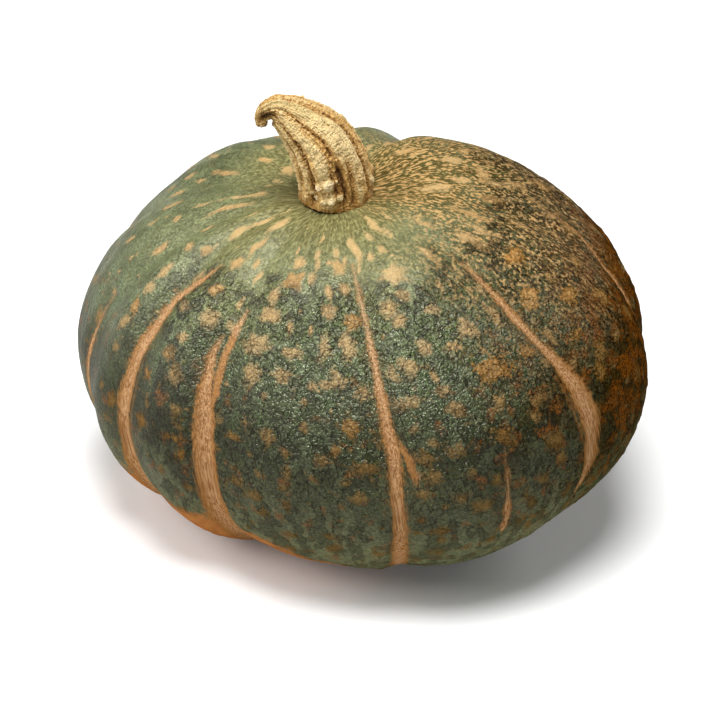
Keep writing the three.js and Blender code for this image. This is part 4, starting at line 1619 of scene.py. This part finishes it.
@dataclass(frozen=True)
class Cork:
    """Dry stem cork: straw ribs, golden flanks and dark brown grooves. The ribs' pale
    tops are partly a painted highlight, and the grooves' dark brown partly painted shade.

    To the eye it is dry and matte, with a fine grain. Widths are in millimetres
    around the stem; along it, fibres and blotches are as long as its grain says.
    """

    name: str = "dry_stem_cork"
    fibre_width: float = 0.8
    blotch_width: float = 5.0
    speck_width: float = 0.7

    def colour(
        self, g: ShaderGraph, level: Signal, fibre: Signal, blotch: Signal
    ) -> bpy.types.Node:
        """Colours of the ribs, foot, knobs and pits. Part of them is painted light: highlights
        on rib and bead tops, a shadow line round the foot, shade in grooves, pits and hollow.

        Args:
            g: The material's graph.
            level: Height of the cork, grain included.
            fibre: The fibres' noise.
            blotch: The broad blotches' noise.

        Returns:
            The colour.
        """
        add = g.add
        _, ribs, up, bead = read_layer(g, "relief")
        # Paler as the cork rises: its own tones, with painted shade in the grooves and painted
        # highlight on the ribs
        low = add("MapRange", level, 1.5, 2.9, **EASED)
        high = add("MapRange", level, 2.45, 3.9, **EASED)
        colour = add("Mix", low, linear("#5e390e"), linear("#c4934c"), **TINT)
        gold = add("MapRange", blotch, 0.46, 0.62, 0.0, 0.75, **EASED)
        cream = add("Mix", gold, linear("#f6d99c"), linear("#deaa56"), **TINT)
        colour = add("Mix", high, colour, cream, **TINT)
        foot = add("MapRange", up, 9.0, 5.5, 0.0, 0.75, **EASED)
        band = add("Mix", fibre, linear("#6a4210"), linear("#d29a48"), **TINT)
        colour = add("Mix", foot, colour, band, **TINT)
        # Painted shadow: a dark line where the foot meets the fruit
        foot_shadow_line = add("MapRange", up, 4.4, 3.2, **EASED)
        colour = add("Mix", foot_shadow_line, colour, linear("#35200a"), **TINT)
        pale_green = add("MapRange", blotch, 0.50, 0.40, 0.0, 0.3)
        moss = add("Math", pale_green, add("MapRange", up, 26.0, 44.0), **TIMES)
        colour = add("Mix", moss, colour, linear("#a0964a"), **TINT)
        # Cream on the beads' tops: partly paler cork, partly a painted highlight
        crest = add("MapRange", bead, 0.35, 1.1, 0.0, 0.55, **EASED)
        colour = add("Mix", crest, colour, linear("#f6e2ba"), **TINT)
        # Painted shade: darker in the deep pits and inside the hollow tip
        pit = add("MapRange", ribs, -3.4, -2.4, 1.0, 0.0)
        return add("Mix", pit, colour, linear("#4a3312"), **TINT)

    def build(self) -> bpy.types.Material:
        """Makes the material.

        Returns:
            The finished material.
        """
        material, g = new_material(self.name)
        add = g.add
        place = add("TexCoord").outputs["Object"]
        place = add("VectorMath", place, operation="SCALE", Scale=1.0 / MM)
        drawn, *_ = read_layer(g, "grain")
        _, ribs, _, bead = read_layer(g, "relief")
        fibre = add("TexNoise", drawn, 1.0 / self.fibre_width, 3.0)
        blotch = add("TexNoise", drawn, 1.0 / self.blotch_width, 3.0)
        speck = add("TexNoise", place, 1.0 / self.speck_width, 2.0)
        level = add("Math", fibre, 3.0, ribs, **TIMES_PLUS)
        level = add("Math", speck, 3.0, level, **TIMES_PLUS)
        level = add("Math", bead, 2.0, level, **TIMES_PLUS)
        height = add("Math", fibre, 1.2, speck, **TIMES_PLUS)
        surface = add(
            "BsdfPrincipled",
            Base_Color=self.colour(g, level, fibre, blotch),
            Roughness=add("Math", speck, 0.3, 0.45, **TIMES_PLUS),
            Specular_IOR_Level=0.4,
            Normal=add("Bump", Strength=1.0, Distance=MM, Height=height),
        )
        add("OutputMaterial", surface)
        return material


# ---------------------------------------------------------------- the studio


@dataclass(frozen=True)
class Softbox:
    """One round soft lamp: where it hangs, its size in metres and its watts."""

    name: str
    place: tuple[float, float, float]
    size: float
    power: float


SOFTBOXES = (
    Softbox("overhead_softbox", (0.00, -0.35, 1.38), 0.62, 20.0),
    Softbox("front_left_softbox", (-0.72, -0.60, 1.10), 0.70, 3.5),
    Softbox("left_softbox", (-1.13, -0.10, 0.84), 1.10, 9.5),
    Softbox("back_right_softbox", (0.92, 0.92, 0.60), 0.70, 5.5),
)


@dataclass(frozen=True)
class Studio:
    """Pale floor, four soft lamps, a faint white surround and the camera.

    Places and sizes are in metres, and the lens is in millimetres.
    """

    elevation: float = 32.0
    distance: float = 0.9
    lens: float = 120.6
    target: tuple[float, float, float] = (-0.0027, 0.0026, 0.0632)
    lamps_target: tuple[float, float, float] = (0.0, 0.0, 0.06)
    surround: float = 0.07
    floor_reach: float = 4.0

    def aim(self, thing: bpy.types.Object, place: Sequence[float], at: Sequence[float]) -> None:
        """Places an object and points its -Z axis at a target.

        Args:
            thing: The object.
            place: Where it goes.
            at: What it points at.
        """
        back = unit(np.array(place) - np.array(at))
        across = unit(np.cross([0.0, 0.0, 1.0], back))
        matrix = np.eye(4)
        matrix[:3] = np.column_stack([across, np.cross(back, across), back, place])
        thing.matrix_world = Matrix(matrix)

    def camera(self) -> None:
        """Makes the camera."""
        data = bpy.data.cameras.new("camera")
        data.lens = self.lens
        data.clip_start, data.clip_end = 0.05, 20.0
        camera = bpy.data.objects.new("camera", data)
        bpy.context.collection.objects.link(camera)
        up = np.radians(self.elevation)
        back = np.array([0.0, -np.cos(up), np.sin(up)])
        self.aim(camera, np.array(self.target) + self.distance * back, self.target)
        bpy.context.scene.camera = camera

    def light(self) -> None:
        """Makes the lamps and the surround, which the camera sees as pure white."""
        for box in SOFTBOXES:
            data = bpy.data.lights.new(box.name, "AREA")
            data.shape, data.size, data.energy = "DISK", box.size, box.power
            lamp = bpy.data.objects.new(box.name, data)
            bpy.context.collection.objects.link(lamp)
            self.aim(lamp, box.place, self.lamps_target)
        world = bpy.data.worlds.new("surround")
        world.use_nodes = True
        g = ShaderGraph(world.node_tree)
        seen = g.add("LightPath").outputs["Is Camera Ray"]
        strength = g.add("MapRange", seen, 0.0, 1.0, self.surround, 1.0)
        g.add("OutputWorld", g.add("Background", (1.0, 1.0, 1.0, 1.0), strength))
        bpy.context.scene.world = world
        bpy.context.scene.view_settings.view_transform = "Standard"

    def floor(self) -> None:
        """Makes the floor: white to the camera, greyer in what it throws back."""
        material, g = new_material("matte_white_floor")
        seen = g.add("LightPath").outputs["Is Camera Ray"]
        away = g.add("VectorMath", g.add("TexCoord").outputs["Object"], operation="LENGTH")
        away = away.outputs["Value"]
        glow = g.add("MapRange", away, 0.3, 0.6, 0.06, 1.0, **EASED)
        surface = g.add(
            "BsdfPrincipled",
            Base_Color=g.add("Mix", seen, linear("#dad8d4"), linear("#ffffff"), **TINT),
            Emission_Color=linear("#ffffff"),
            Emission_Strength=g.add("Math", seen, glow, **TIMES),
            Roughness=0.9,
            Specular_IOR_Level=0.0,
        )
        g.add("OutputMaterial", surface)
        mesh = bpy.data.meshes.new("floor")
        reach = self.floor_reach
        edge = [(-reach, -reach, 0), (reach, -reach, 0), (reach, reach, 0), (-reach, reach, 0)]
        mesh.from_pydata(edge, [], [(0, 1, 2, 3)])
        mesh.materials.append(material)
        floor = bpy.data.objects.new("floor", mesh)
        bpy.context.collection.objects.link(floor)
        floor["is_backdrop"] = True


def corners(bounds: Iterable[Iterable[float]]) -> list[list[float]]:
    """Two box corners as plain lists of numbers."""
    return [[float(value) for value in corner] for corner in bounds]


def main() -> None:
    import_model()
    packed = corners(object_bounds())
    studio = Studio()
    studio.camera()

    fruit = Fruit(FruitForm())
    rind = fruit.build(Rind().build())
    stem = Stem(StemForm()).build(Cork().build(), fruit.crown())
    for piece, node, slot in ((rind, "fruit", "rind"), (stem, "stem", "cork")):
        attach(piece, "root")
        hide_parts(node)

    studio.light()
    studio.floor()
    visible = corners(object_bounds())
    LOG.info("packed %s visible %s", packed, visible)


if __name__ == "__main__":
    main()
